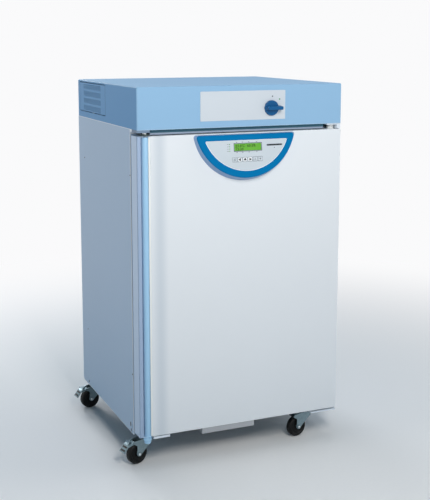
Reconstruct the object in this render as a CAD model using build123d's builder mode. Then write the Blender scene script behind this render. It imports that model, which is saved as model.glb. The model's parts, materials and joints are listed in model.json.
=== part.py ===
from build123d import *
import os
from math import atan2, cos, degrees, radians, sin

os.makedirs("parts", exist_ok=True)

# A floor-standing climate chamber: an insulated cabinet on four swivel casters, with a full-height
# front door hinged on its right, a control panel on the door and an electronics hood on top.
# Millimetres. +Z is up, the front faces -Y, and the origin is on the floor under the cabinet's middle.

# Cabinet
caster_height = 102.0
hood_height = 140.0
sheet = 1.5
corner_radius = 16.0
seat_gap = 0.3
running_gap = 0.05
touch_gap = 0.1

# Door and the gap that its gasket closes
door_thickness = 60.0
gasket_gap = 12.0
door_top_gap = 20.5
door_bottom_gap = 13.5
door_edge_radius = 3.0
flange_width = 45.0
frame_sheet = 2.0

# Chamber, and the walls round it that make the cabinet's outside
chamber_width = 540.0
chamber_height = 760.0
chamber_depth = 572.0
liner_sheet = 1.0
side_wall = 110.0
back_wall = 60.0
roof_wall = 76.0
compartment_height = 163.0
floor_foam = 64.0
plenum_depth = 60.0
baffle_slit = 15.0
fan_below_middle = 60.0
width = chamber_width + 2 * side_wall
depth = door_thickness + gasket_gap + frame_sheet + chamber_depth + back_wall
body_height = compartment_height + floor_foam + liner_sheet + chamber_height + roof_wall

# Door hinge
pivot_inset = 28.0
pivot_depth = 30.0
hinge_pin_diameter = 10.0
hinge_pin_depth = 24.0
bracket_high_width = 56.0
bracket_low_width = 100.0
bracket_set_back = 3.0
bracket_leg = 5.0
bracket_plate = 4.5
cheek_gap = 1.5
bush_diameter = 24.0
bush_spigot_diameter = 16.0

# Handle bar in its groove on the door's left edge
bar_diameter = 23.0
bar_wall = 2.0
bar_inset = 30.5
bar_depth = 13.0
bar_below_door = 24.5
groove_left = 4.0
groove_right = 46.0
groove_straight = 15.0
spindle_diameter = 10.0
bar_bush_wall = 3.0
catch_boss_diameter = 30.0
catch_sheet = 5.0
catch_reach = 52.0
catch_arm_left = 11.0
catch_arm_right = 1.5
keeper_pin_diameter = 8.0
keeper_gap = 0.5
keeper_reach = 42.0
keeper_block_height = 9.0
keeper_sheet = 2.5
rest_width = 60.0
rest_height = 8.0
screw_head = 3.5

# Control panel: a half-moon housing that leans back from its lower edge
panel_shift = 6.0
rim_drop = 5.5
rim_half_width = 180.0
rim_height = 145.0
rim_top_stand = 14.0
rim_bottom_stand = 30.0
foot_half_width = 190.0
foot_height = 159.5
foot_rise = 2.5
rim_corner = 9.0
fascia_half_width = 153.0
fascia_height = 105.0
fascia_drop = 18.0
fascia_corner = 4.0
fascia_sheet = 2.0
fascia_sunk = 0.5
fascia_gap = 0.3
ledge = 5.0
display_size = (100.0, 24.0)
display_place = (3.0, -42.0)
display_margin = 5.0
display_body = 5.5
card_slot_size = (56.0, 3.2)
card_slot_place = (103.0, -38.0)
light_diameter = 3.4
light_pitch = 7.6
light_place = (-64.5, -42.5)
light_count = 4
key_pitch = 19.0
key_row = -83.5
key_diameter = 14.5
key_size = (15.0, 13.0)
key_proud = 0.8
key_travel = 1.0
key_flange = 1.4
key_flange_sheet = 1.2
board_sheet = 1.6
board_half_width = 128.0
board_height = 80.0
board_drop = 24.0

# Hood
hood_sheet = 2.0
hood_radius = 5.0
switch_plate_size = (315.0, 99.0)
switch_plate_drop = 68.3
switch_plate_sheet = 1.2
knob_place = (104.0, 79.0)
knob_diameter = 52.0
knob_disc = 8.0
knob_grip = (60.0, 15.0, 18.0)
knob_grip_shift = 6.0
knob_spindle = 6.0
switch_body_size = (58.0, 70.0, 58.0)
grille_length = 331.0
grille_height = 111.0
grille_front = 348.0
grille_drop = 7.0
grille_slit = 2.5
louvre_size = (3.0, 19.0)
louvre_pitch = (7.0, 26.5)
louvre_count = (32, 4)
louvre_shift = -2.0
recess_depth = 60.0

# Casters
wheel_diameter = 75.0
wheel_width = 24.0
trail = 38.0
fork_gap = 1.5
fork_sheet = 2.5
axle_diameter = 8.0
kingpin_diameter = 10.0
caster_plate_size = 64.0
caster_plate_sheet = 3.0
caster_bolt_pitch = 46.0
race_diameter = 44.0
race_height = 10.0
yoke_height = 7.0
left_inset = 45.0
right_inset = 90.0
front_inset = 78.0
rear_inset = 48.0
pedal_pivot = (52.0, 80.0)
pedal_pin = 5.0
pedal_width = 32.0
pedal_sheet = 2.5

# Base and drip tray
base_sheet = 2.5
base_upstand = 22.0
tray_width = 202.0
tray_shift = -33.0
tray_front = 45.0
tray_length = 240.0
tray_drop = 25.0
tray_sheet = 1.2
tray_flange = 8.0
tray_front_rise = 6.0

# Slots: two in each side panel for the transport bolts, and the air slots in front and behind
side_slot = (4.0, 16.0)
front_slot_place = (83.0, 28.0)
rear_slot_place = (86.0, 16.0)
vent_slot = (54.0, 5.0)
vent_pitch = (64.0, 14.0)
vent_count = (5, 7)
vent_height = 90.0
rear_slot = (24.0, 5.0)
rear_slot_pitch = (26.0, 34.0)
rear_slot_count = (14, 3)
hood_slot = (26.0, 4.0)
hood_slot_pitch = (12.0, 34.0)
hood_slot_count = (30, 2)

# Machine compartment, with places measured from the base's edges
compressor_inset = 190.0
compressor_back = 243.0
condenser_width = 320.0
condenser_height = 132.0
condenser_shift = 60.0
boiler_inset = 95.0
boiler_back = 163.0

# Side port and services
port_bore = 50.0
port_wall = 3.0
port_proud = 42.0
port_collar = 84.0
port_collar_sheet = 5.0
port_place = (40.0, 789.0)
spacer_length = 40.0
gland_bore = 10.0
gland_thread = 20.0
gland_inset = 80.0
service_height = 92.0
water_insets = (130.0, 70.0)
water_thread = 26.4
water_bore = 18.0
water_length = 24.0
water_neck = 28.2
water_relief = 1.5

# Levels and planes that follow from the sizes above
z_under = caster_height
z_hood = z_under + body_height
z_top = z_hood + hood_height
x_left = -width / 2
x_right = width / 2
y_front = -depth / 2
y_back = depth / 2
y_door_back = y_front + door_thickness
y_body = y_door_back + gasket_gap
z_door_low = z_under + door_bottom_gap
z_door_high = z_hood - door_top_gap
y_liner = y_body + frame_sheet
y_chamber_back = y_liner + chamber_depth
z_compartment = z_under + compartment_height
z_chamber_low = z_compartment + floor_foam + liner_sheet
z_chamber_high = z_chamber_low + chamber_height
x_chamber = chamber_width / 2
x_inside = x_right - sheet
y_inside = y_back - sheet
z_base = z_under + base_sheet
y_baffle = y_chamber_back - plenum_depth
pivot_x = x_right - pivot_inset
pivot_y = y_front + pivot_depth
bar_x = x_left + bar_inset
bar_y = y_front + bar_depth


def block(x, y, z, mode=Mode.ADD):
    """A box between two limits along each axis, in the part being built."""
    with Locations(((x[0] + x[1]) / 2, (y[0] + y[1]) / 2, (z[0] + z[1]) / 2)):
        Box(x[1] - x[0], y[1] - y[0], z[1] - z[0], mode=mode)


def rod_z(x, y, z, diameter, mode=Mode.ADD):
    """An upright cylinder between two heights."""
    with Locations((x, y, (z[0] + z[1]) / 2)):
        Cylinder(diameter / 2, z[1] - z[0], mode=mode)


def rod_y(x, y, z, diameter, mode=Mode.ADD):
    """A cylinder along Y between two depths."""
    with Locations((x, (y[0] + y[1]) / 2, z)):
        Cylinder(diameter / 2, y[1] - y[0], rotation=(90, 0, 0), mode=mode)


def rod_x(x, y, z, diameter, mode=Mode.ADD):
    """A cylinder along X between two sides."""
    with Locations(((x[0] + x[1]) / 2, y, z)):
        Cylinder(diameter / 2, x[1] - x[0], rotation=(0, 90, 0), mode=mode)


def save(part, label):
    """Label a finished piece and write it as its own file."""
    part.label = label
    export_step(part, f"parts/{label}.step")
    print(label, "volume", round(part.volume))


# Base: a folded steel pan with forward tongues that carry the front casters
caster_x = (x_left + left_inset, x_right - right_inset)
caster_y = (y_front + front_inset, y_back - rear_inset)
half_plate = caster_plate_size / 2
tray_x = (tray_shift - tray_width / 2, tray_shift + tray_width / 2)
z_tray_low = z_under - tray_drop
z_tray_flange = z_under - 3.0
rail_lip = 2.0

with BuildPart() as base_frame:
    block((-x_inside, x_inside), (y_liner, y_inside), (z_under, z_base))
    for x in caster_x:
        block((x - half_plate, x + half_plate), (caster_y[0] - half_plate, y_liner), (z_under, z_base))
    for y in ((y_liner, y_liner + base_sheet), (y_inside - base_sheet, y_inside)):
        block((-x_inside, x_inside), y, (z_base, z_base + base_upstand))
    for side in (-1, 1):
        edge = side * x_inside
        block(sorted((edge, edge - side * base_sheet)), (y_liner, y_inside), (z_base, z_base + base_upstand))
    # Two rails under the pan hold the drip tray by its flanges
    rail_depth = (y_liner + 4.0, y_liner + 4.0 + tray_length)
    z_lip = z_tray_flange - tray_sheet - seat_gap
    for side, edge in ((-1, tray_x[0]), (1, tray_x[1])):
        outer = edge + side * (tray_flange + 3.0)
        block(sorted((outer, outer + side * rail_lip)), rail_depth, (z_lip - rail_lip, z_under))
        block(sorted((outer, edge + side * 1.5)), rail_depth, (z_lip - rail_lip, z_lip))
save(base_frame.part, "base_frame")


# Side panels: one folded sheet each, with a front flange that faces the door's gasket gap
def side_panel(side):
    outer = side * x_right
    inner = side * x_inside
    flange = side * (x_right - flange_width)
    slots = (
        (y_front + front_slot_place[0], z_under + front_slot_place[1]),
        (y_back - rear_slot_place[0], z_under + rear_slot_place[1]),
    )
    half_slot = (side_slot[0] / 2, side_slot[1] / 2)
    with BuildPart() as panel:
        block(sorted((outer, inner)), (y_body, y_back), (z_under, z_hood))
        rear_corner = panel.edges().filter_by(Axis.X).group_by(Axis.Z)[0].sort_by(Axis.Y)[-1]
        fillet(rear_corner, radius=corner_radius)
        block(sorted((outer, flange)), (y_body, y_body + sheet), (z_base, z_hood))
        for y, z in slots:
            slot_y, slot_z = (y - half_slot[0], y + half_slot[0]), (z - half_slot[1], z + half_slot[1])
            block(sorted((outer, inner)), slot_y, slot_z, Mode.SUBTRACT)
        front_edge = panel.edges().filter_by(Axis.Z).group_by(Axis.Y)[0]
        fillet(front_edge.sort_by(Axis.X)[0 if side < 0 else -1], radius=sheet)
        if side > 0:
            rod_x((inner, outer), port_place[0], port_place[1], port_bore + 2 * port_wall + 2 * touch_gap,
                  Mode.SUBTRACT)
    return panel.part


save(side_panel(-1), "left_side_panel")
save(side_panel(1), "right_side_panel")

# Rear panel, with air slots for the machine compartment and holes for the services
z_service = z_under + service_height
gland_x = x_left + gland_inset
water_x = [x_right - inset for inset in water_insets]
with BuildPart() as rear_panel:
    block((-x_inside, x_inside), (y_inside, y_back), (z_under, z_hood))
    with BuildSketch(Plane(origin=(0, y_back, z_service), x_dir=(1, 0, 0), z_dir=(0, 1, 0))) as air_slots:
        with GridLocations(*rear_slot_pitch, *rear_slot_count):
            SlotOverall(*rear_slot, rotation=90)
    extrude(amount=-3 * sheet, mode=Mode.SUBTRACT)
    rod_y(gland_x, (y_inside, y_back), z_service, gland_thread, Mode.SUBTRACT)
    for x in water_x:
        rod_y(x, (y_inside, y_back), z_service, water_neck, Mode.SUBTRACT)
save(rear_panel.part, "rear_panel")

# Front frame: the plate that the gasket seals on, folded back above the door into a dark recess
x_frame = x_right - flange_width - touch_gap
z_frame_low = z_base + 1.0
recess_back = y_body + recess_depth
with BuildPart() as front_frame:
    block((-x_frame, x_frame), (y_body, y_liner), (z_frame_low, z_door_high))
    block((-x_frame, x_frame), (y_body, recess_back), (z_door_high - frame_sheet, z_door_high))
    block((-x_frame, x_frame), (recess_back - frame_sheet, recess_back), (z_door_high, z_hood))
    block((-x_chamber, x_chamber), (y_body, y_liner), (z_chamber_low, z_chamber_high), Mode.SUBTRACT)
    vent_origin = (condenser_shift, y_body, z_under + vent_height)
    with BuildSketch(Plane(origin=vent_origin, x_dir=(1, 0, 0), z_dir=(0, -1, 0))) as vents:
        with GridLocations(*vent_pitch, *vent_count):
            SlotOverall(*vent_slot)
    extrude(amount=-2 * frame_sheet, mode=Mode.SUBTRACT)
save(front_frame.part, "front_frame")

# Inner liner: a stainless tub, open at the front. Its right wall, with the port's hole, is welded on.
fan_z = (z_chamber_low + z_chamber_high) / 2 - fan_below_middle
motor_shaft = 8.0
shaft_hole = motor_shaft + 6.0
port_outer = port_bore + 2 * port_wall
with BuildPart() as inner_liner:
    z_tub = (z_chamber_low - liner_sheet, z_chamber_high + liner_sheet)
    y_tub = (y_liner, y_chamber_back + liner_sheet)
    block((-x_chamber - liner_sheet, x_chamber), y_tub, z_tub)
    block((-x_chamber, x_chamber), (y_liner, y_chamber_back), (z_chamber_low, z_chamber_high), Mode.SUBTRACT)
    rod_y(0, (y_chamber_back, y_chamber_back + liner_sheet), fan_z, shaft_hole, Mode.SUBTRACT)
save(inner_liner.part, "inner_liner")

with BuildPart() as liner_port_wall:
    block((x_chamber, x_chamber + liner_sheet), y_tub, z_tub)
    rod_x((x_chamber, x_chamber + liner_sheet), *port_place, port_outer + 2 * touch_gap, Mode.SUBTRACT)
save(liner_port_wall.part, "liner_port_wall")

# Foam between the liner and the outer panels, with a pocket for the fan motor and a hole for the port
motor_diameter = 92.0
motor_length = 48.0
y_foam_back = y_inside
z_foam_top = z_door_high - frame_sheet
with BuildPart() as insulation:
    block((-x_inside, x_inside), (y_liner, y_foam_back), (z_compartment, z_foam_top))
    block(
        (-x_chamber - liner_sheet, x_chamber + liner_sheet),
        (y_liner, y_chamber_back + liner_sheet),
        (z_chamber_low - liner_sheet, z_chamber_high + liner_sheet),
        Mode.SUBTRACT,
    )
    rod_y(0, (y_chamber_back, y_foam_back), fan_z, motor_diameter + 4.0, Mode.SUBTRACT)
    rod_x((x_chamber, x_inside), *port_place, port_outer + 2 * touch_gap, Mode.SUBTRACT)
save(insulation.part, "insulation")

# Air baffle in front of the plenum: slits above and below it, and a fan inlet of ringed holes
baffle_sheet = 1.2
inlet_rings = ((30.0, 10), (46.0, 16), (62.0, 22))
inlet_hole = 8.0
with BuildPart() as air_baffle:
    z_baffle = (z_chamber_low + baffle_slit, z_chamber_high - baffle_slit)
    block((-x_chamber, x_chamber), (y_baffle - baffle_sheet, y_baffle), z_baffle)
    for side in (-1, 1):
        edge = side * x_chamber
        lip = sorted((edge, edge - side * baffle_sheet))
        block(lip, (y_baffle, y_baffle + 12.0), z_baffle)
    with BuildSketch(Plane(origin=(0, y_baffle, fan_z), x_dir=(1, 0, 0), z_dir=(0, -1, 0))) as inlet:
        Circle(inlet_hole / 2)
        with PolarLocations(16.0, 6):
            Circle(inlet_hole / 2)
        for ring_radius, holes in inlet_rings:
            with PolarLocations(ring_radius, holes):
                Circle(inlet_hole / 2)
    extrude(amount=3 * baffle_sheet, both=True, mode=Mode.SUBTRACT)
save(air_baffle.part, "air_baffle")

# Shelf racks: two uprights and eight runners on each chamber wall
runner_reach = 14.0
runner_sheet = 2.0
runner_pitch = 82.0
runner_count = 8
runner_depth = (y_liner + 46.0, y_baffle - 40.0)
upright_width = 18.0
upright_sheet = 4.0
z_first_runner = z_chamber_low + 90.0
with BuildPart() as shelf_racks:
    for side in (-1, 1):
        wall = side * x_chamber
        face = wall - side * upright_sheet
        for y in (runner_depth[0] + 30.0, runner_depth[1] - 30.0):
            block(
                sorted((wall, face)),
                (y - upright_width / 2, y + upright_width / 2),
                (z_first_runner - 30.0, z_first_runner + runner_pitch * (runner_count - 1) + 30.0),
            )
        for i in range(runner_count):
            z = z_first_runner + i * runner_pitch
            block(sorted((face, wall - side * runner_reach)), runner_depth, (z - runner_sheet, z))
            block(sorted((face, face - side * runner_sheet)), runner_depth, (z, z + 9.0))
save(shelf_racks.part, "shelf_racks")

# Shelves: a rod frame on the runners, crossed by thinner wires
shelf_rod = 6.0
shelf_wire = 3.0
shelf_side_gap = 1.5
shelf_half = x_chamber - upright_sheet - runner_sheet - shelf_side_gap
shelf_depth = (runner_depth[0] + 6.0, runner_depth[1] - 6.0)
wire_pitch = 22.0
shelf_levels = (2, 5)


def shelf(level):
    z_rod = z_first_runner + level * runner_pitch + touch_gap + shelf_rod / 2
    z_wire = z_rod + shelf_rod / 2 + shelf_wire / 2 - 1.0
    side_x = shelf_half - shelf_rod / 2
    rod_y_ends = (shelf_depth[0] + shelf_rod / 2, shelf_depth[1] - shelf_rod / 2)
    half_length = (shelf_depth[1] - shelf_depth[0]) / 2
    with BuildPart() as grid:
        with BuildLine() as loop:
            middle = (0, (shelf_depth[0] + shelf_depth[1]) / 2)
            with Locations((*middle, z_rod)):
                FilletPolyline(
                    (-side_x, rod_y_ends[0], z_rod),
                    (side_x, rod_y_ends[0], z_rod),
                    (side_x, rod_y_ends[1], z_rod),
                    (-side_x, rod_y_ends[1], z_rod),
                    radius=12.0,
                    close=True,
                )
        with BuildSketch(Plane(origin=loop.line @ 0, z_dir=loop.line % 0)) as section:
            Circle(shelf_rod / 2)
        sweep()
        for y in (middle[1] - half_length / 3, middle[1] + half_length / 3):
            rod_x((-side_x, side_x), y, z_rod, shelf_rod)
        wires = int(2 * side_x / wire_pitch)
        for i in range(wires):
            x = (i - (wires - 1) / 2) * wire_pitch
            rod_y(x, rod_y_ends, z_wire, shelf_wire)
    return grid.part


save(Compound(children=[shelf(level) for level in shelf_levels]), "wire_shelves")

# Cooling and heating coils in the plenum: finned blocks on end plates against the liner's back wall
coil_half = 200.0
coil_z = (fan_z + 150.0, fan_z + 270.0)
coil_depth = (y_chamber_back - 44.0, y_chamber_back - 8.0)
fin_count = 24
fin_sheet = 0.8
coil_tube = 9.5
with BuildPart() as climate_coils:
    for i in range(fin_count):
        x = -coil_half + 2 * coil_half * i / (fin_count - 1)
        block((x - fin_sheet / 2, x + fin_sheet / 2), coil_depth, coil_z)
    for side in (-1, 1):
        edge = side * coil_half
        block(sorted((edge, edge + side * 2.0)), (coil_depth[0], y_chamber_back), coil_z)
    for row in (0.25, 0.75):
        y = coil_depth[0] + (coil_depth[1] - coil_depth[0]) * row
        for i in range(4):
            z = coil_z[0] + (i + 0.5) * (coil_z[1] - coil_z[0]) / 4
            rod_x((-coil_half - 6.0, coil_half + 6.0), y, z, coil_tube)
save(climate_coils.part, "climate_coils")

# Fan motor behind the liner's back wall, its shaft through the wall, and the fan wheel on it
wheel_hub = 30.0
fan_wheel = 170.0
fan_depth = 30.0
fan_y = (y_baffle + 14.0, y_baffle + 14.0 + fan_depth)
blade_count = 12
with BuildPart() as fan_motor:
    y_motor = y_chamber_back + liner_sheet
    rod_y(0, (y_motor, y_motor + motor_length), fan_z, motor_diameter)
    rod_y(0, (fan_y[0] - 2.0, y_motor), fan_z, motor_shaft)
    fillet(fan_motor.edges().filter_by(GeomType.CIRCLE).sort_by(Axis.Y)[-1], radius=6.0)
save(fan_motor.part, "fan_motor")

with BuildPart() as fan_wheel_part:
    rod_y(0, (fan_y[1] - 2.0, fan_y[1]), fan_z, fan_wheel)
    rod_y(0, fan_y, fan_z, wheel_hub)
    with BuildSketch(Plane(origin=(0, fan_y[1], fan_z), x_dir=(1, 0, 0), z_dir=(0, -1, 0))) as blades:
        with PolarLocations((fan_wheel + wheel_hub) / 4 + 14.0, blade_count):
            Rectangle(fan_wheel / 2 - 36.0, 2.0, rotation=28.0)
    extrude(amount=fan_depth)
    rod_y(0, fan_y, fan_z, motor_shaft + 2 * running_gap, Mode.SUBTRACT)
save(fan_wheel_part.part, "fan_wheel")

# Machine compartment: compressor on rubber feet
compressor_x = x_left + compressor_inset
compressor_y = y_back - compressor_back
dome_radius = 78.0
dome_height = 140.0
foot_lift = 10.0
with BuildPart() as compressor:
    z_dome = (z_base + foot_lift, z_base + foot_lift + dome_height)
    rod_z(compressor_x, compressor_y, z_dome, 2 * dome_radius)
    fillet(compressor.edges().filter_by(GeomType.CIRCLE), radius=26.0)
    rod_z(compressor_x, compressor_y, (z_dome[0] + 66.0, z_dome[0] + 72.0), 2 * dome_radius + 8.0)
    with BuildSketch(Plane.XY.offset(z_dome[0] - 2.0)) as feet:
        with Locations((compressor_x, compressor_y)):
            RectangleRounded(190.0, 120.0, 12.0)
    extrude(amount=4.0)
    with BuildSketch(Plane.XY.offset(z_base)) as rubber_feet:
        with Locations((compressor_x, compressor_y)):
            with GridLocations(164.0, 94.0, 2, 2):
                Circle(10.0)
    extrude(amount=foot_lift - 2.0)
    rod_z(compressor_x + 55.0, compressor_y + 59.0, (z_dome[0] + 30.0, z_dome[1] - 30.0), 9.5)
save(compressor.part, "compressor")

# Condenser behind the front vents, with its shroud, motor arms and motor, and the fan in the shroud
condenser_x = (condenser_shift - condenser_width / 2, condenser_shift + condenser_width / 2)
condenser_z = (z_base, z_base + condenser_height)
condenser_y = (y_liner + 12.0, y_liner + 44.0)
condenser_fins = 28
shroud_sheet = 2.0
shroud_depth = 46.0
cond_fan_x = (condenser_x[0] + condenser_x[1]) / 2
cond_fan_z = (condenser_z[0] + condenser_z[1]) / 2
cond_fan_diameter = 112.0
shroud_bore = cond_fan_diameter + 8.0
y_shroud = (condenser_y[1], condenser_y[1] + shroud_depth)
cond_shaft = 6.0
with BuildPart() as condenser:
    for i in range(condenser_fins):
        x = condenser_x[0] + 2.0 + (condenser_x[1] - condenser_x[0] - 4.0) * i / (condenser_fins - 1)
        block((x - 0.4, x + 0.4), condenser_y, (condenser_z[0] + 4.0, condenser_z[1]))
    for z in (condenser_z[0] + 4.0, condenser_z[1] - 2.0):
        block(condenser_x, condenser_y, (z, z + 2.0))
    for i in range(5):
        z = condenser_z[0] + 18.0 + i * 24.0
        rod_x((condenser_x[0] - 8.0, condenser_x[1] + 8.0), (condenser_y[0] + condenser_y[1]) / 2, z, 9.5)
    block(condenser_x, (y_shroud[0], y_shroud[0] + shroud_sheet), condenser_z)
    rod_y(cond_fan_x, y_shroud, cond_fan_z, shroud_bore + 2 * shroud_sheet)
    rod_y(cond_fan_x, y_shroud, cond_fan_z, shroud_bore, Mode.SUBTRACT)
    y_arm = (y_shroud[1] - 3.0, y_shroud[1])
    block((cond_fan_x - shroud_bore / 2 - 1.0, cond_fan_x + shroud_bore / 2 + 1.0), y_arm,
          (cond_fan_z - 5.0, cond_fan_z + 5.0))
    block((cond_fan_x - 5.0, cond_fan_x + 5.0), y_arm,
          (cond_fan_z - shroud_bore / 2 - 1.0, cond_fan_z + shroud_bore / 2 + 1.0))
    rod_y(cond_fan_x, (y_arm[0], y_arm[1] + 38.0), cond_fan_z, 46.0)
    rod_y(cond_fan_x, (y_shroud[0] + 6.0, y_arm[0]), cond_fan_z, cond_shaft)
save(condenser.part, "condenser")

blade_chord = 22.0
blade_sheet = 1.8
blade_pitch = 35.0
fan_hub = 34.0
y_fan = (y_shroud[0] + 8.0, y_shroud[0] + 32.0)
fan_plane = Plane(origin=(cond_fan_x, (y_fan[0] + y_fan[1]) / 2, cond_fan_z), z_dir=(0, -1, 0))
with BuildPart(fan_plane) as condenser_fan:
    Cylinder(fan_hub / 2, y_fan[1] - y_fan[0])
    with PolarLocations((cond_fan_diameter + fan_hub) / 4 - 1.0, 6):
        Box((cond_fan_diameter - fan_hub) / 2, blade_chord, blade_sheet, rotation=(blade_pitch, 0, 0))
    Cylinder(cond_shaft / 2 + running_gap, y_fan[1] - y_fan[0], mode=Mode.SUBTRACT)
save(condenser_fan.part, "condenser_fan")

# Steam generator: a water boiler with its lid, heating flange and steam outlet
boiler_x = x_right - boiler_inset
boiler_y = y_back - boiler_back
with BuildPart() as steam_generator:
    rod_z(boiler_x, boiler_y, (z_base, z_base + 118.0), 110.0)
    fillet(steam_generator.edges().filter_by(GeomType.CIRCLE).sort_by(Axis.Z)[0], radius=8.0)
    rod_z(boiler_x, boiler_y, (z_base + 118.0, z_base + 124.0), 128.0)
    with BuildSketch(Plane.XY.offset(z_base + 124.0)) as lid_bolts:
        with Locations((boiler_x, boiler_y)):
            with PolarLocations(58.0, 8):
                RegularPolygon(4.5, 6)
    extrude(amount=4.0)
    rod_z(boiler_x, boiler_y, (z_base + 124.0, z_base + 150.0), 22.0)
    rod_y(boiler_x, (boiler_y + 40.0, boiler_y + 76.0), z_base + 40.0, 16.0)
save(steam_generator.part, "steam_generator")

# Services on the back: a cable gland, two threaded water stubs and four wall spacers
with BuildPart() as mains_gland:
    rod_y(gland_x, (y_inside - 10.0, y_back + 4.0), z_service, gland_thread - 2 * touch_gap)
    with BuildSketch(Plane(origin=(gland_x, y_back, z_service), x_dir=(1, 0, 0), z_dir=(0, 1, 0))) as hexes:
        RegularPolygon(15.0, 6)
    extrude(amount=6.0)
    rod_y(gland_x, (y_back + 6.0, y_back + 20.0), z_service, 24.0)
    fillet(mains_gland.edges().filter_by(GeomType.CIRCLE).sort_by(Axis.Y)[-1], radius=4.0)
    rod_y(gland_x, (y_inside - 10.0, y_back + 20.0), z_service, gland_bore, Mode.SUBTRACT)
save(mains_gland.part, "mains_gland")

with BuildPart() as water_connectors:
    for x in water_x:
        rod_y(x, (y_inside - 14.0, y_back + seat_gap), z_service, water_neck - 2 * touch_gap)
        rod_y(x, (y_back + seat_gap, y_back + water_relief), z_service, water_thread - 2 * water_relief)
        rod_y(x, (y_back + water_relief, y_back + water_length), z_service, water_thread)
        rod_y(x, (y_inside - 5.0, y_inside), z_service, water_thread + 12.0)
        rod_y(x, (y_inside - 14.0, y_back + water_length), z_service, water_bore, Mode.SUBTRACT)
save(water_connectors.part, "water_connectors")

spacer_x = x_right - 60.0
spacer_z = (z_under + 180.0, z_hood - 120.0)
with BuildPart() as wall_spacers:
    for z in spacer_z:
        for x in (-spacer_x, spacer_x):
            rod_y(x, (y_back, y_back + spacer_length), z, 26.0)
    fillet(wall_spacers.edges().filter_by(GeomType.CIRCLE).group_by(Axis.Y)[-1], radius=4.0)
save(wall_spacers.part, "wall_spacers")

# Cable port through the right wall: a plastic sleeve with a collar outside and a rim inside
x_port_end = x_right + port_proud
with BuildPart() as access_port:
    rod_x((x_chamber - 4.0, x_port_end), *port_place, port_outer)
    rod_x((x_right, x_right + port_collar_sheet), *port_place, port_collar)
    rod_x((x_chamber - 4.0, x_chamber), *port_place, port_outer + 16.0)
    fillet(access_port.edges().filter_by(GeomType.CIRCLE).sort_by(Axis.X)[-1], radius=1.0)
    rod_x((x_chamber - 4.0, x_port_end), *port_place, port_bore, Mode.SUBTRACT)
save(access_port.part, "access_port")

# Hood: a folded shell, open underneath behind the recess, with an opening for the side grille
grille_y = (y_front + grille_front, y_front + grille_front + grille_length)
grille_z = (z_top - grille_drop - grille_height, z_top - grille_drop)
knob_x = knob_place[0]
knob_z = z_top - knob_place[1]
plate_z = z_top - switch_plate_drop
with BuildPart() as hood_shell:
    block((x_left, x_right), (y_front, y_back), (z_hood, z_top))
    outer_edges = hood_shell.edges().filter_by(Axis.Z) + hood_shell.edges().group_by(Axis.Z)[-1]
    fillet(outer_edges, radius=hood_radius)
    block(
        (x_left + hood_sheet, x_right - hood_sheet),
        (y_front + hood_sheet, y_back - hood_sheet),
        (z_hood + hood_sheet, z_top - hood_sheet),
        Mode.SUBTRACT,
    )
    block((x_left + 30.0, x_right - 30.0), (recess_back + 30.0, y_back - 30.0), (z_hood, z_hood + hood_sheet),
          Mode.SUBTRACT)
    block((x_left, x_left + hood_sheet), grille_y, grille_z, Mode.SUBTRACT)
    rod_y(knob_x, (y_front, y_front + hood_sheet), knob_z, knob_spindle + 4.0, Mode.SUBTRACT)
    with BuildSketch(Plane(origin=(0, y_back, z_hood + 70.0), x_dir=(1, 0, 0), z_dir=(0, 1, 0))) as rear_air:
        with GridLocations(*hood_slot_pitch, *hood_slot_count):
            SlotOverall(*hood_slot, rotation=90)
    extrude(amount=-2 * hood_sheet, mode=Mode.SUBTRACT)
save(hood_shell.part, "hood_shell")

with BuildPart() as hood_grille:
    grille_plane = Plane(
        origin=(x_left, (grille_y[0] + grille_y[1]) / 2, (grille_z[0] + grille_z[1]) / 2),
        x_dir=(0, -1, 0),
        z_dir=(-1, 0, 0),
    )
    with BuildSketch(grille_plane) as grille_face:
        Rectangle(grille_length, grille_height - 2 * grille_slit)
        with Locations((louvre_shift, 0)):
            with GridLocations(*louvre_pitch, *louvre_count):
                SlotOverall(louvre_size[1], louvre_size[0], rotation=90, mode=Mode.SUBTRACT)
    extrude(amount=-hood_sheet)
save(hood_grille.part, "hood_grille")

# Main switch: a pale plate on the hood's front, the switch behind it and the blue turn knob
y_plate = y_front - switch_plate_sheet
with BuildPart() as switch_plate:
    with BuildSketch(Plane(origin=(0, y_front, plate_z), x_dir=(1, 0, 0), z_dir=(0, -1, 0))) as plate_face:
        RectangleRounded(*switch_plate_size, 3.0)
    extrude(amount=switch_plate_sheet)
    rod_y(knob_x, (y_plate, y_front), knob_z, knob_spindle + 4.0, Mode.SUBTRACT)
save(switch_plate.part, "switch_plate")

with BuildPart() as main_switch_body:
    y_switch = y_front + hood_sheet
    half_x, half_z = switch_body_size[0] / 2, switch_body_size[2] / 2
    block(
        (knob_x - half_x, knob_x + half_x),
        (y_switch, y_switch + switch_body_size[1]),
        (knob_z - half_z, knob_z + half_z),
    )
    chamfer(main_switch_body.edges().filter_by(Axis.Y), length=5.0)
    rod_y(knob_x, (y_switch, y_switch + 24.0), knob_z, knob_spindle + 2 * running_gap, Mode.SUBTRACT)
save(main_switch_body.part, "main_switch_body")

y_knob_back = y_plate - seat_gap
with BuildPart() as main_switch_knob:
    rod_y(knob_x, (y_knob_back - knob_disc, y_knob_back), knob_z, knob_diameter)
    fillet(main_switch_knob.edges().filter_by(GeomType.CIRCLE).sort_by(Axis.Y)[0], radius=2.5)
    grip_x = knob_x + knob_grip_shift
    y_grip = (y_knob_back - knob_disc - knob_grip[2], y_knob_back - knob_disc / 2)
    with BuildSketch(Plane(origin=(grip_x, y_grip[1], knob_z), x_dir=(1, 0, 0), z_dir=(0, -1, 0))) as grip:
        RectangleRounded(knob_grip[0], knob_grip[1], 5.0)
    extrude(amount=y_grip[1] - y_grip[0], taper=4.0)
    fillet(main_switch_knob.edges().group_by(Axis.Y)[0], radius=1.5)
    rod_y(knob_x, (y_knob_back, y_switch + 22.0), knob_z, knob_spindle)
save(main_switch_knob.part, "main_switch_knob")

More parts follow.
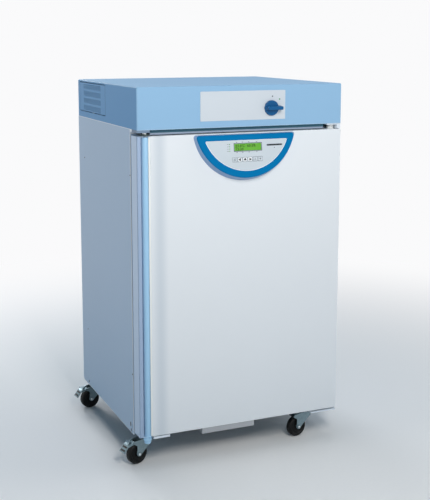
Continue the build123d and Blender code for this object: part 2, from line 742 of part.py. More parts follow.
# Power and control unit inside the hood, on two cross rails
with BuildPart() as power_unit:
    block((-250.0, -40.0), (-60.0, 180.0), (z_hood + 26.0, z_hood + 92.0))
    chamfer(power_unit.edges().filter_by(Axis.Z), length=4.0)
    for y in (-30.0, 150.0):
        block((x_left + hood_sheet, x_right - hood_sheet), (y - 15.0, y + 15.0), (z_hood + 23.0, z_hood + 26.0))
        for side in (-1, 1):
            edge = side * (x_right - hood_sheet)
            block(sorted((edge, edge - side * 3.0)), (y - 15.0, y + 15.0), (z_hood + hood_sheet, z_hood + 23.0))
    block((40.0, 240.0), (-80.0, 200.0), (z_hood + 26.0, z_hood + 32.0))
    for x in (70.0, 120.0, 170.0):
        block((x, x + 34.0), (-20.0, 60.0), (z_hood + 32.0, z_hood + 70.0))
save(power_unit.part, "power_unit")

# Hinge brackets: a leg on the body's front flange, a plate over or under the door, and the pin.
# The upper one also hangs a cheek beside the white bush, to close the gap at the corner.
bracket_front = y_front + bracket_set_back
z_low_plate = (z_base + 0.5, z_base + 0.5 + bracket_plate)
z_high_plate = (z_hood - bracket_plate, z_hood)
cheek_x = pivot_x + bush_diameter / 2 + cheek_gap
with BuildPart() as hinge_brackets:
    for x_plate, z_plate, z_leg, z_pin in (
        (x_right - bracket_low_width, z_low_plate, (z_low_plate[0], z_door_low - 1.5),
         (z_low_plate[1], z_door_low + hinge_pin_depth)),
        (x_right - bracket_high_width, z_high_plate, (z_door_high + 3.0, z_hood),
         (z_door_high - hinge_pin_depth, z_high_plate[0])),
    ):
        block((x_plate, x_right), (bracket_front, y_body), z_plate)
        block((x_plate, x_right), (y_body - bracket_leg, y_body), z_leg)
        rod_z(pivot_x, pivot_y, z_pin, hinge_pin_diameter)
    block((cheek_x, x_right), (bracket_front, y_body), (z_door_high + cheek_gap, z_high_plate[1]))
    corners = hinge_brackets.edges().filter_by(Axis.Z).group_by(Axis.Y)[0]
    fillet(corners, radius=2.0)
save(hinge_brackets.part, "hinge_brackets")

# Keepers: a block with a pin over the handle's catch, and a sheet with a pin under the lower one.
# The sheet runs on under the door as a folded rest.
catch_z_high = (z_door_high + 2.0, z_door_high + 2.0 + catch_sheet)
catch_z_low = (z_door_low - 2.0 - catch_sheet, z_door_low - 2.0)
keeper_x = bar_x + catch_arm_right + keeper_gap + keeper_pin_diameter / 2
keeper_y = bar_y + keeper_reach
with BuildPart() as latch_keepers:
    z_block = (z_hood - keeper_block_height, z_hood)
    x_block = (x_left, x_left + flange_width)
    block(x_block, (bracket_front, y_body), z_block)
    block(x_block, (y_body - 3.0, y_body), (z_door_high + 3.0, z_block[0]))
    rod_z(keeper_x, keeper_y, (catch_z_high[0], z_block[0]), keeper_pin_diameter)
    z_sheet = (catch_z_low[0] - 1.0 - keeper_sheet, catch_z_low[0] - 1.0)
    x_rest = (bar_x + bar_diameter / 2 + 7.0, bar_x + bar_diameter / 2 + 7.0 + rest_width)
    block((keeper_x - 8.0, x_rest[1]), (keeper_y - 7.0, y_body), z_sheet)
    block((keeper_x - 8.0, x_rest[1]), (y_body - 3.0, y_body), (z_sheet[0], z_door_low - 1.5))
    block(x_rest, (bracket_front, keeper_y), z_sheet)
    block(x_rest, (bracket_front, bracket_front + keeper_sheet), (z_sheet[0], z_sheet[0] + rest_height))
    rod_z(keeper_x, keeper_y, (z_sheet[1], catch_z_low[1]), keeper_pin_diameter)
save(latch_keepers.part, "latch_keepers")

# Door skin: a pan open at the back, with a round-bottomed groove for the handle bar
groove_x = (x_left + groove_left, x_left + groove_right)
groove_radius = (groove_right - groove_left) / 2
groove_middle = (groove_x[0] + groove_x[1]) / 2
z_groove = (z_door_low + sheet, z_door_high - sheet)
bar_bush_diameter = bar_diameter + 2 * bar_bush_wall
spindle_bush_diameter = spindle_diameter + 2 * bar_bush_wall


def groove_outline(wall):
    """The groove's plan, made larger by a wall, in the sketch being drawn."""
    with Locations((groove_middle, y_front + groove_straight)):
        Circle(groove_radius + wall)
    with Locations((groove_middle, y_front + (groove_straight - wall) / 2)):
        Rectangle(2 * (groove_radius + wall), groove_straight + wall)


with BuildPart() as door_skin:
    block((x_left, x_right), (y_front, y_door_back), (z_door_low, z_door_high))
    front_edges = door_skin.edges().group_by(Axis.Y)[0]
    fillet(front_edges, radius=door_edge_radius)
    with BuildSketch(Plane.XY.offset(z_groove[0])) as door_inside:
        with Locations((0, (y_front + sheet + y_door_back) / 2)):
            Rectangle(width - 2 * sheet, door_thickness - sheet)
        with Locations((groove_middle, y_front + groove_straight)):
            Circle(groove_radius + sheet, mode=Mode.SUBTRACT)
        with Locations((groove_middle, y_front + groove_straight / 2)):
            Rectangle(2 * (groove_radius + sheet), groove_straight, mode=Mode.SUBTRACT)
    extrude(amount=z_groove[1] - z_groove[0], mode=Mode.SUBTRACT)
    with BuildSketch(Plane.XY.offset(z_groove[0])) as groove_cut:
        groove_outline(0.0)
    extrude(amount=z_groove[1] - z_groove[0], mode=Mode.SUBTRACT)
    for z in ((z_door_low, z_groove[0]), (z_groove[1], z_door_high)):
        rod_z(pivot_x, pivot_y, z, bush_spigot_diameter + 2 * touch_gap, Mode.SUBTRACT)
    rod_z(bar_x, bar_y, (z_door_low, z_groove[0]), bar_bush_diameter + 2 * touch_gap, Mode.SUBTRACT)
    rod_z(bar_x, bar_y, (z_groove[1], z_door_high), spindle_bush_diameter + 2 * touch_gap, Mode.SUBTRACT)
save(door_skin.part, "door_skin")

# Door inner panel: closes the pan and carries a shallow plug that enters the chamber's mouth
plug_gap = 8.0
plug_depth = 20.0
plug_x = x_chamber - plug_gap
plug_z = (z_chamber_low + plug_gap, z_chamber_high - plug_gap)
y_panel = (y_door_back - liner_sheet, y_door_back)
y_plug = y_body + plug_depth
with BuildPart() as door_inner_panel:
    block((x_left + sheet, x_right - sheet), y_panel, z_groove)
    block((-plug_x, plug_x), (y_door_back, y_plug), plug_z)
    plug_edges = door_inner_panel.edges().group_by(Axis.Y)[-1]
    fillet(plug_edges, radius=2 * liner_sheet)
    block(
        (-plug_x + liner_sheet, plug_x - liner_sheet),
        (y_panel[0], y_plug - liner_sheet),
        (plug_z[0] + liner_sheet, plug_z[1] - liner_sheet),
        Mode.SUBTRACT,
    )
save(door_inner_panel.part, "door_inner_panel")

# Foam in the door, clear of the groove, the hinge bushes and the edges' folds
foam_x = (groove_x[1] + sheet + 2.0, pivot_x - bush_spigot_diameter)
foam_z = (z_groove[0], z_groove[1])
with BuildPart() as door_insulation:
    block(foam_x, (y_front + sheet, y_panel[0]), foam_z)
    block(
        (-plug_x + liner_sheet, plug_x - liner_sheet),
        (y_panel[0], y_plug - liner_sheet),
        (plug_z[0] + liner_sheet, plug_z[1] - liner_sheet),
    )
save(door_insulation.part, "door_insulation")

# Magnetic gasket on the door, around the plug
gasket_margin = 12.0
gasket_width = 18.0
gasket_x = (x_chamber + gasket_margin, x_chamber + gasket_margin + gasket_width)
gasket_z = (z_chamber_low - gasket_margin, z_chamber_high + gasket_margin)
with BuildPart() as door_gasket:
    y_gasket = (y_door_back, y_body - seat_gap)
    block((-gasket_x[1], gasket_x[1]), y_gasket, (gasket_z[0] - gasket_width, gasket_z[1] + gasket_width))
    block((-gasket_x[0], gasket_x[0]), y_gasket, gasket_z, Mode.SUBTRACT)
    groove_ring = (gasket_x[0] + gasket_width / 2 - 2.0, gasket_x[0] + gasket_width / 2 + 2.0)
    block(
        (-groove_ring[1], groove_ring[1]),
        (y_gasket[1] - 3.0, y_gasket[1]),
        (gasket_z[0] - gasket_width / 2 - 2.0, gasket_z[1] + gasket_width / 2 + 2.0),
        Mode.SUBTRACT,
    )
    block(
        (-groove_ring[0], groove_ring[0]),
        (y_gasket[1] - 3.0, y_gasket[1]),
        (gasket_z[0] - gasket_width / 2 + 2.0, gasket_z[1] + gasket_width / 2 - 2.0),
    )
    block((-gasket_x[0], gasket_x[0]), y_gasket, gasket_z, Mode.SUBTRACT)
save(door_gasket.part, "door_gasket")

# White plastic bushes: two for the hinge pins, and two that the handle bar turns in
with BuildPart() as door_bushes:
    for z_head, z_spigot in (
        ((z_door_high, z_high_plate[0] - seat_gap), (z_door_high - hinge_pin_depth - 1.0, z_door_high)),
        ((z_low_plate[1] + seat_gap, z_door_low), (z_door_low, z_door_low + hinge_pin_depth + 1.0)),
    ):
        rod_z(pivot_x, pivot_y, z_head, bush_diameter)
        rod_z(pivot_x, pivot_y, z_spigot, bush_spigot_diameter)
        rod_z(pivot_x, pivot_y, z_spigot, hinge_pin_diameter + 2 * running_gap, Mode.SUBTRACT)
        rod_z(pivot_x, pivot_y, z_head, hinge_pin_diameter + 2 * running_gap, Mode.SUBTRACT)
    for z, inner, outer in (
        ((z_door_low - 0.8, z_groove[0] + 5.0), bar_diameter, bar_bush_diameter),
        ((z_groove[1] - 1.5, z_door_high + 0.8), spindle_diameter, spindle_bush_diameter),
    ):
        rod_z(bar_x, bar_y, z, outer)
        rod_z(bar_x, bar_y, z, inner + 2 * running_gap, Mode.SUBTRACT)
save(door_bushes.part, "door_bushes")

# Handle bar: a tube closed at its foot, which turns to draw the catches off their pins
bar_z = (z_door_low - bar_below_door, z_groove[1] - 2.0)
bar_bore = bar_diameter - 2 * bar_wall
with BuildPart() as handle_bar:
    rod_z(bar_x, bar_y, bar_z, bar_diameter)
    fillet(handle_bar.edges().filter_by(GeomType.CIRCLE).sort_by(Axis.Z)[0], radius=2.0)
    rod_z(bar_x, bar_y, (bar_z[0] + bar_wall, bar_z[1]), bar_bore, Mode.SUBTRACT)
save(handle_bar.part, "handle_bar")


def catch_arm(z):
    """The catch's plate: a round boss and an arm that reaches back past the keeper pin."""
    with BuildSketch(Plane.XY.offset(z[0])) as arm:
        with Locations((bar_x, bar_y)):
            Circle(catch_boss_diameter / 2)
        with Locations((bar_x + (catch_arm_right - catch_arm_left) / 2, bar_y + catch_reach / 2)):
            RectangleRounded(catch_arm_left + catch_arm_right, catch_reach, 3.0)
    extrude(arm.sketch, amount=z[1] - z[0])


with BuildPart() as handle_catches:
    catch_arm(catch_z_high)
    rod_z(bar_x, bar_y, (bar_z[1] - 24.0, bar_z[1]), bar_bore - 2 * touch_gap)
    rod_z(bar_x, bar_y, (bar_z[1], catch_z_high[1]), spindle_diameter)
    with BuildSketch(Plane.XY.offset(catch_z_high[1])) as screw:
        with Locations((bar_x, bar_y)):
            RegularPolygon(6.5, 6)
    extrude(amount=screw_head)
    catch_arm(catch_z_low)
    rod_z(bar_x, bar_y, (catch_z_low[0] - 5.0, catch_z_low[1]), catch_boss_diameter)
    rod_z(bar_x, bar_y, (catch_z_low[0] - 5.0, catch_z_low[1]), bar_diameter + 2 * touch_gap, Mode.SUBTRACT)
save(handle_catches.part, "handle_catches")

# Control panel. Its face leans back by the difference of its two stand-offs.
lean = degrees(atan2(rim_bottom_stand - rim_top_stand, rim_height))
z_rim = z_door_high - rim_drop
out_of_face = (0, -cos(radians(lean)), sin(radians(lean)))
face_plane = Plane(origin=(panel_shift, y_front - rim_top_stand, z_rim), x_dir=(1, 0, 0), z_dir=out_of_face)
foot_plane = Plane(origin=(panel_shift, y_front, z_rim + foot_rise), x_dir=(1, 0, 0), z_dir=(0, -1, 0))


def half_moon(half_width, height, corner, drop=0.0):
    """A half-moon with its straight side on top, in the sketch being drawn."""
    with BuildLine() as outline:
        Line((half_width, -drop), (-half_width, -drop))
        ThreePointArc((-half_width, -drop), (0, -drop - height), (half_width, -drop))
    moon = make_face(outline.edges())
    fillet(moon.vertices(), radius=corner)


def face_block(size, place, z, mode=Mode.ADD):
    """A box on the panel's face plane, between two heights above that face."""
    with BuildSketch(face_plane.offset(z[0])) as area:
        with Locations(place):
            Rectangle(*size)
    extrude(area.sketch, amount=z[1] - z[0], mode=mode)


z_fascia = (-fascia_sunk - fascia_sheet, -fascia_sunk)
z_board = (z_fascia[0] - display_body - board_sheet, z_fascia[0] - display_body)
key_places = [((i - 2.5) * key_pitch, key_row) for i in range(6)]
key_kinds = ("square", "round", "round", "round", "square", "square")
light_places = [
    (light_place[0], light_place[1] + (i - (light_count - 1) / 2) * light_pitch) for i in range(light_count)
]

with BuildPart() as control_bezel:
    with BuildSketch(foot_plane) as foot:
        half_moon(foot_half_width, foot_height, rim_corner)
    with BuildSketch(face_plane) as rim:
        half_moon(rim_half_width, rim_height, rim_corner)
    loft()
    rim_edges = control_bezel.faces().filter_by(face_plane).sort_by(Axis.Y)[0].edges()
    fillet(rim_edges, radius=3.0)
    seat_half_width = fascia_half_width + fascia_gap
    seat_height = fascia_height + fascia_gap
    with BuildSketch(face_plane.offset(z_fascia[0])) as fascia_seat:
        half_moon(seat_half_width, seat_height, fascia_corner, fascia_drop - fascia_gap)
    extrude(amount=4.0 + fascia_sheet, mode=Mode.SUBTRACT)
    with BuildSketch(face_plane) as pocket:
        pocket_height = fascia_height - 1.4 * ledge
        half_moon(fascia_half_width - ledge, pocket_height, fascia_corner, fascia_drop + ledge / 2)
    extrude(amount=-2 * rim_bottom_stand, mode=Mode.SUBTRACT)
save(control_bezel.part, "control_bezel")

with BuildPart() as control_fascia:
    with BuildSketch(face_plane.offset(z_fascia[0])) as fascia_face:
        half_moon(fascia_half_width, fascia_height, fascia_corner, fascia_drop)
        with Locations(display_place):
            Rectangle(*display_size, mode=Mode.SUBTRACT)
        with Locations(card_slot_place):
            SlotOverall(*card_slot_size, mode=Mode.SUBTRACT)
        with Locations(light_places):
            Circle(light_diameter / 2 + fascia_gap / 2, mode=Mode.SUBTRACT)
        for place, kind in zip(key_places, key_kinds):
            with Locations(place):
                if kind == "round":
                    Circle(key_diameter / 2 + fascia_gap, mode=Mode.SUBTRACT)
                else:
                    Rectangle(key_size[0] + 2 * fascia_gap, key_size[1] + 2 * fascia_gap, mode=Mode.SUBTRACT)
    extrude(amount=fascia_sheet)
save(control_fascia.part, "control_fascia")

with BuildPart() as display_module:
    lens = (display_size[0] - 2 * fascia_gap, display_size[1] - 2 * fascia_gap)
    face_block(lens, display_place, (z_fascia[0], z_fascia[1] - 0.4))
    body = (display_size[0] + 2 * display_margin, display_size[1] + 2 * display_margin)
    face_block(body, display_place, (z_board[1], z_fascia[0]))
save(display_module.part, "display_module")

with BuildPart() as indicator_lights:
    with BuildSketch(face_plane.offset(z_board[1])) as lights:
        with Locations(light_places):
            Circle(light_diameter / 2)
    extrude(amount=z_fascia[1] - z_board[1] + 0.2)
save(indicator_lights.part, "indicator_lights")

with BuildPart() as control_board:
    with BuildSketch(face_plane.offset(z_board[0])) as board:
        half_moon(board_half_width, board_height, fascia_corner, board_drop)
    extrude(amount=board_sheet)
    reader_size = (44.0, 16.0)
    reader_place = (card_slot_place[0] - 4.0, card_slot_place[1])
    face_block(reader_size, reader_place, (z_board[1], z_fascia[0]))
    face_block((reader_size[0], card_slot_size[1] - 0.6), reader_place, (z_fascia[0] - 4.0, z_fascia[0]),
               Mode.SUBTRACT)
    stem_top = z_fascia[0] - seat_gap - key_flange_sheet - key_travel - seat_gap
    with BuildSketch(face_plane.offset(z_board[1])) as stems:
        with Locations(key_places):
            Circle(1.75)
    extrude(amount=stem_top - z_board[1])
save(control_board.part, "control_board")

# Keys: a cap through the fascia, and a flange behind it that the fascia holds back
key_names = ("key_menu", "key_left", "key_up", "key_right", "key_enter", "key_light")


def key(place, kind):
    z_flange = (z_fascia[0] - seat_gap - key_flange_sheet, z_fascia[0] - seat_gap)
    with BuildPart() as cap:
        with BuildSketch(face_plane.offset(z_flange[0])) as flange:
            with Locations(place):
                if kind == "round":
                    Circle(key_diameter / 2 + key_flange)
                else:
                    RectangleRounded(key_size[0] + 2 * key_flange, key_size[1] + 2 * key_flange, 1.5)
        extrude(amount=key_flange_sheet)
        with BuildSketch(face_plane.offset(z_flange[1])) as top:
            with Locations(place):
                if kind == "round":
                    Circle(key_diameter / 2)
                else:
                    RectangleRounded(*key_size, 1.5)
        extrude(amount=z_fascia[1] + key_proud - z_flange[1])
        top_face = cap.faces().filter_by(face_plane).sort_by(Axis.Y)[0]
        fillet(top_face.edges(), radius=0.5)
    return cap.part


for name, place, kind in zip(key_names, key_places, key_kinds):
    save(key(place, kind), name)

# Casters, made once at the floor under the kingpin with the wheel trailing along +X, then set in place
wheel_radius = wheel_diameter / 2
half_wheel = wheel_width / 2
leg_inner = half_wheel + fork_gap
leg_outer = leg_inner + fork_sheet
z_plate_low = caster_height - caster_plate_sheet
z_race_low = z_plate_low - race_height
z_yoke = (z_race_low - seat_gap - yoke_height, z_race_low - seat_gap)
bolt_hex = 5.5

with BuildPart() as caster_plate:
    with BuildSketch(Plane.XY.offset(z_plate_low)) as plate:
        RectangleRounded(caster_plate_size, caster_plate_size, 6.0)
        with GridLocations(caster_bolt_pitch, caster_bolt_pitch, 2, 2):
            Circle(3.3, mode=Mode.SUBTRACT)
    extrude(amount=caster_plate_sheet)
    rod_z(0, 0, (z_race_low, z_plate_low), race_diameter)
    fillet(caster_plate.edges().filter_by(GeomType.CIRCLE).group_by(Axis.Z)[0], radius=3.0)
    rod_z(0, 0, (z_yoke[0] - 2.5, z_race_low), kingpin_diameter)
    rod_z(0, 0, (z_yoke[0] - 2.5 - seat_gap, z_yoke[0] - seat_gap), kingpin_diameter + 6.0)
    with BuildSketch(Plane.XY.offset(z_plate_low - 4.0)) as bolt_heads:
        with GridLocations(caster_bolt_pitch, caster_bolt_pitch, 2, 2):
            RegularPolygon(bolt_hex, 6)
    extrude(amount=4.0)

# The fork's leg seen from its side: a horn from the yoke to the axle, with an arm towards the brake
leg_points = ((-21.0, 87.0), (22.0, 87.0), (46.0, 85.0), (58.0, 82.0), (58.0, 75.0), (44.0, 66.0),
              (44.0, 52.0), (47.0, 37.0), (40.0, 29.0), (31.0, 31.0), (4.0, 56.0), (-16.0, 70.0))
yoke_shift = z_yoke[1] - 87.0

with BuildPart() as fork_blank:
    for y in (-leg_outer, leg_inner):
        leg_plane = Plane(origin=(0, y, 0), x_dir=(1, 0, 0), z_dir=(0, -1, 0))
        with BuildSketch(leg_plane) as leg:
            with BuildLine():
                Polyline(*[(x, z if z < 60.0 else z + yoke_shift) for x, z in leg_points], close=True)
            make_face()
            fillet(leg.vertices(), radius=2.5)
        extrude(amount=-fork_sheet)
    rod_z(0, 0, z_yoke, 2 * leg_outer + 8.0)
    rod_z(0, 0, z_yoke, kingpin_diameter + 2 * running_gap, Mode.SUBTRACT)
    for y in (-leg_outer, leg_inner):
        rod_y(trail, (y, y + fork_sheet), wheel_radius, axle_diameter + 2 * touch_gap, Mode.SUBTRACT)

with BuildPart() as axle_bolt:
    rod_y(trail, (-leg_outer - 1.0, leg_outer + 1.0), wheel_radius, axle_diameter)
    for y, out in ((-leg_outer, -5.0), (leg_outer, 5.0)):
        hex_plane = Plane(origin=(trail, y, wheel_radius), x_dir=(1, 0, 0), z_dir=(0, out / 5.0, 0))
        with BuildSketch(hex_plane) as head:
            RegularPolygon(7.0, 6)
        extrude(amount=5.0)

with BuildPart() as pedal_pin_part:
    rod_y(pedal_pivot[0], (-leg_outer, leg_outer), pedal_pivot[1], pedal_pin)

with BuildPart() as wheel_blank:
    with BuildSketch(Plane(origin=(trail, 0, wheel_radius), x_dir=(0, 1, 0), z_dir=(1, 0, 0))) as half:
        with BuildLine():
            Polyline(
                (-half_wheel - fork_gap + 0.4, axle_diameter / 2 + running_gap),
                (-half_wheel - fork_gap + 0.4, 9.0),
                (-half_wheel + 4.0, 11.0),
                (-half_wheel + 4.0, wheel_radius - 12.0),
                (-half_wheel, wheel_radius - 9.0),
                (-half_wheel, wheel_radius - 4.0),
                (-half_wheel + 4.0, wheel_radius),
                (half_wheel - 4.0, wheel_radius),
                (half_wheel, wheel_radius - 4.0),
                (half_wheel, wheel_radius - 9.0),
                (half_wheel - 4.0, wheel_radius - 12.0),
                (half_wheel - 4.0, 11.0),
                (half_wheel + fork_gap - 0.4, 9.0),
                (half_wheel + fork_gap - 0.4, axle_diameter / 2 + running_gap),
                close=True,
            )
        make_face()
    revolve(axis=Axis((trail, 0, wheel_radius), (0, 1, 0)))

# Brake pedal: two ears on its pin inside the fork's arms, and a ribbed tread that slopes outwards
ear_outer = leg_inner - 0.4
tread = ((62.0, 84.0), (80.0, 77.0), (99.0, 55.0))
with BuildPart() as pedal_blank:
    side = Plane(origin=(0, pedal_width / 2, 0), x_dir=(1, 0, 0), z_dir=(0, -1, 0))
    with BuildSketch(side) as tread_profile:
        with BuildLine():
            (x0, z0), (x1, z1), (x2, z2) = tread
            Polyline((x0, z0), (x1, z1), (x2, z2), (x2 - pedal_sheet, z2 - pedal_sheet),
                     (x1 - 1.0, z1 - pedal_sheet - 0.6), (x0 - 1.0, z0 - pedal_sheet), close=True)
        make_face()
    extrude(amount=pedal_width)
    # The release tab that a toe lifts, above the tread
    tab = Plane(origin=(0, pedal_width / 4, 0), x_dir=(1, 0, 0), z_dir=(0, -1, 0))
    with BuildSketch(tab) as tab_profile:
        with BuildLine():
            Polyline((x0 - 2.0, z0 - 1.0), (x0 + 3.0, z0 + 4.0), (x0 + 18.0, z0 + 5.0), (x0 + 18.0, z0 + 2.5),
                     (x0 + 4.0, z0 + 1.5), (x0 + 2.0, z0 - 1.5), close=True)
        make_face()
    extrude(amount=pedal_width / 2)
    for y in (-ear_outer, ear_outer - 2.0):
        ear_plane = Plane(origin=(0, y, 0), x_dir=(1, 0, 0), z_dir=(0, -1, 0))
        with BuildSketch(ear_plane) as ear:
            with BuildLine():
                px, pz = pedal_pivot
                Polyline((px - 5.0, pz - 3.0), (px - 4.0, pz + 5.0), (px + 8.0, pz + 5.0), (x1 - 1.0, z1 - 1.0),
                         (x1 - 2.0, z1 - 7.0), (px + 4.0, pz - 4.5), close=True)
            make_face()
        extrude(amount=-2.0)
        rod_y(px, (y, y + 2.0), pz, pedal_pin + 2 * running_gap, Mode.SUBTRACT)
    for step in (0.3, 0.5, 0.7, 0.9):
        x = x1 + (x2 - x1) * step
        z = z1 + (z2 - z1) * step
        with Locations((x, 0, z)):
            Box(2.0, pedal_width - 6.0, 2.4, rotation=(0, 45, 0))

caster_spots = {
    "front_left": (caster_x[0], caster_y[0], 195.0, True),
    "front_right": (caster_x[1], caster_y[0], 190.0, False),
    "rear_left": (caster_x[0], caster_y[1], 189.0, True),
    "rear_right": (caster_x[1], caster_y[1], 186.0, False),
}
plates = []
for name, (x, y, turn, braked) in caster_spots.items():
    spot = Location((x, y, 0), (0, 0, turn))
    plates.append(caster_plate.part.moved(Location((x, y, 0))))
    pieces = [fork_blank.part.moved(spot), axle_bolt.part.moved(spot)]
    if braked:
        pieces.append(pedal_pin_part.part.moved(spot))
        save(pedal_blank.part.moved(spot), f"brake_pedal_{name}")
    save(Compound(children=pieces), f"caster_fork_{name}")
    save(wheel_blank.part.moved(spot), f"caster_wheel_{name}")
save(Compound(children=plates), "caster_plates")

# Drip tray: a folded stainless tray that slides out forwards on the base's rails
y_tray = (y_front + tray_front, y_front + tray_front + tray_length)
with BuildPart() as drip_tray:
    block(tray_x, y_tray, (z_tray_low, z_tray_flange))
    flange = (tray_x[0] - tray_flange, tray_x[1] + tray_flange)
    block(flange, (y_liner + 5.0, y_tray[1]), (z_tray_flange - tray_sheet, z_tray_flange))
    block(
        (tray_x[0] + tray_sheet, tray_x[1] - tray_sheet),
        (y_tray[0] + tray_sheet, y_tray[1] - tray_sheet),
        (z_tray_low + tray_sheet, z_tray_flange),
        Mode.SUBTRACT,
    )
    block(tray_x, (y_tray[0], y_tray[0] + tray_sheet), (z_tray_low, z_under + tray_front_rise))
save(drip_tray.part, "drip_tray")

print("door pivot", pivot_x, pivot_y, "bar", bar_x, bar_y, "knob", knob_x, knob_z, "lean", round(lean, 3))
print("levels", z_door_low, z_door_high, z_hood, z_top, "chamber", z_chamber_low, z_chamber_high)
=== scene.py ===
# %% [markdown]
# # A climate chamber, dressed in Blender
# The cabinet, door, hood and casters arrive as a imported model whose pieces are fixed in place. This lesson
# gives each its finish, adds small things such as printed marks, screws and the profile of the seal, and
# lights the whole as in a plain studio.

import json
from math import atan2, cos, pi, radians, sin

import bmesh
import bpy
from mathutils import Matrix, Vector

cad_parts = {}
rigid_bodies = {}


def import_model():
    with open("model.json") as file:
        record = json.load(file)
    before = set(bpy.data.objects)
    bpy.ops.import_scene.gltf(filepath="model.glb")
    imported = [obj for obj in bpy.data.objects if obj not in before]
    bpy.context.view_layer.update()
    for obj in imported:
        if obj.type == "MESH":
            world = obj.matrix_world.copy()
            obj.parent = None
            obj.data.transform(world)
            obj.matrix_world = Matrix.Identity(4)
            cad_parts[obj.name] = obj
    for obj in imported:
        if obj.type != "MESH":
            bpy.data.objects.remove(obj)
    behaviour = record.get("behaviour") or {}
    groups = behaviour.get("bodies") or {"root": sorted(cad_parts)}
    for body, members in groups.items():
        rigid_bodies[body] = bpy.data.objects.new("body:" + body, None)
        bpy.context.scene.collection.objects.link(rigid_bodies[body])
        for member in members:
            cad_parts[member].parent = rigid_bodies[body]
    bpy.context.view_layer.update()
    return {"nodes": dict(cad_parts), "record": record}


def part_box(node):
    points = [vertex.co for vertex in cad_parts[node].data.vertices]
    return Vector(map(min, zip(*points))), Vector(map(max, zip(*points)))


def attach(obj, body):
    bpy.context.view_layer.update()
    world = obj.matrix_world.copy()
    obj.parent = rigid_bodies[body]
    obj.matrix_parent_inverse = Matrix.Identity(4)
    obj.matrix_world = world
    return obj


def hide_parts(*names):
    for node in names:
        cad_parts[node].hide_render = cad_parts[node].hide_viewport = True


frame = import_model()

# %% [markdown]
# Drawings are in millimetres, while Blender counts in metres. A short helper turns the one into the other.

# %% Millimetres to metres
MM = 0.001


def mm(*sizes):
    """A point or a size in millimetres, as a vector in metres."""
    return Vector([size * MM for size in sizes])


def put_in_scene(name, data):
    """A new object for some data, linked into the scene."""
    made = bpy.data.objects.new(name, data)
    bpy.context.scene.collection.objects.link(made)
    return made


hood_low, hood_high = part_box("hood_shell")
door_low, door_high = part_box("door_skin")
for name, size in (("hood", hood_high - hood_low), ("door", door_high - door_low)):
    print(name, [round(length, 3) for length in size])

# %% [markdown]
# The photograph was taken from the left, a little above the hood, and its upright edges stay nearly
# parallel. So the camera looks down by a few degrees only, and its picture slides downwards.

# %% Camera
camera_data = bpy.data.cameras.new("camera")
camera_data.sensor_width = 36.0
camera_data.lens = 71.85
camera_data.shift_y = -0.12
camera = put_in_scene("camera", camera_data)
camera.location = (-1.4112, -3.4226, 1.4612)
look_down = radians(8.63)
look_right = radians(23.06)
camera.rotation_euler = (pi / 2 - look_down, 0.0, -look_right)
bpy.context.scene.camera = camera
bpy.context.scene.view_settings.view_transform = "Standard"
print("lens", camera_data.lens, "shift", camera_data.shift_y)

# %% [markdown]
# A material is a small tree of nodes. One helper adds a node and fills its sockets, with a value or with a
# link from another node. The others name the steps that come back in every finish.

# %% Helpers for shader nodes
def add_node(tree, kind, feeds=None, **settings):
    """Add a shader node. feeds maps a socket's name or number to a value or to an output."""
    made = tree.nodes.new("ShaderNode" + kind)
    for setting, value in settings.items():
        setattr(made, setting, value)
    for socket, value in (feeds or {}).items():
        if isinstance(value, bpy.types.NodeSocket):
            tree.links.new(value, made.inputs[socket])
        else:
            made.inputs[socket].default_value = value
    return made


def calculate(tree, operation, *values):
    """One arithmetic step on single numbers."""
    return add_node(tree, "Math", dict(enumerate(values)), operation=operation).outputs[0]


def on_vectors(tree, operation, *values):
    """One step on vectors. Its outputs are a vector and a number."""
    return add_node(tree, "VectorMath", dict(enumerate(values)), operation=operation).outputs


def object_place(tree):
    """Where a point lies in its object's own coordinates."""
    return add_node(tree, "TexCoord").outputs["Object"]


def split(tree, vector):
    """The three numbers of a vector."""
    return add_node(tree, "SeparateXYZ", {0: vector}).outputs


def noise(tree, place, scale, detail):
    """A noise between 0 and 1."""
    return add_node(tree, "TexNoise", {"Vector": place, "Scale": scale, "Detail": detail}).outputs["Fac"]


def mix_colours(tree, factor, under, over):
    """Lay one colour over another by a mask."""
    return add_node(tree, "Mix", {0: factor, 6: under, 7: over}, data_type="RGBA").outputs[2]


def ramp_between(tree, value, low, high):
    """A smooth mask: 0 where the value is low, 1 where it is high."""
    feeds = {0: value, 1: low, 2: high}
    return add_node(tree, "MapRange", feeds, interpolation_type="SMOOTHSTEP").outputs[0]


def screen(red, green, blue):
    """A colour as a screen shows it, 0 to 255, turned into the linear light that shaders use."""
    shares = [channel / 255 for channel in (red, green, blue)]
    linear = [share / 12.92 if share <= 0.04045 else ((share + 0.055) / 1.055) ** 2.4 for share in shares]
    return (*linear, 1.0)


print("mid grey in linear light", round(screen(128, 128, 128)[0], 3))

# %% [markdown]
# Powder coat, brushed steel, zinc and moulded plastic each appear on several pieces, so each effect is a
# shader group with its own sockets. A group hands out only what changes over the surface, a colour, a
# roughness and a normal, and the shader itself stays in the material.

# %% Helpers for shader groups
def start_group(name, inputs, outputs):
    """A new shader group, the object's place in it, and its ends. inputs maps sockets to defaults."""
    group = bpy.data.node_groups.new(name, "ShaderNodeTree")
    for title, default in inputs.items():
        kind = "Float" if isinstance(default, float) else {3: "Vector", 4: "Color"}[len(default)]
        socket = group.interface.new_socket(name=title, in_out="INPUT", socket_type="NodeSocket" + kind)
        socket.default_value = default
    for title, kind in outputs.items():
        group.interface.new_socket(name=title, in_out="OUTPUT", socket_type="NodeSocket" + kind)
    taken = group.nodes.new("NodeGroupInput").outputs
    given = group.nodes.new("NodeGroupOutput").inputs
    return group, object_place(group), taken, given


def end_group(group, given, results):
    """Link the results to the group's end."""
    for title, result in results.items():
        group.links.new(result, given[title])
    print(group.name, "has", len(group.nodes), "nodes")


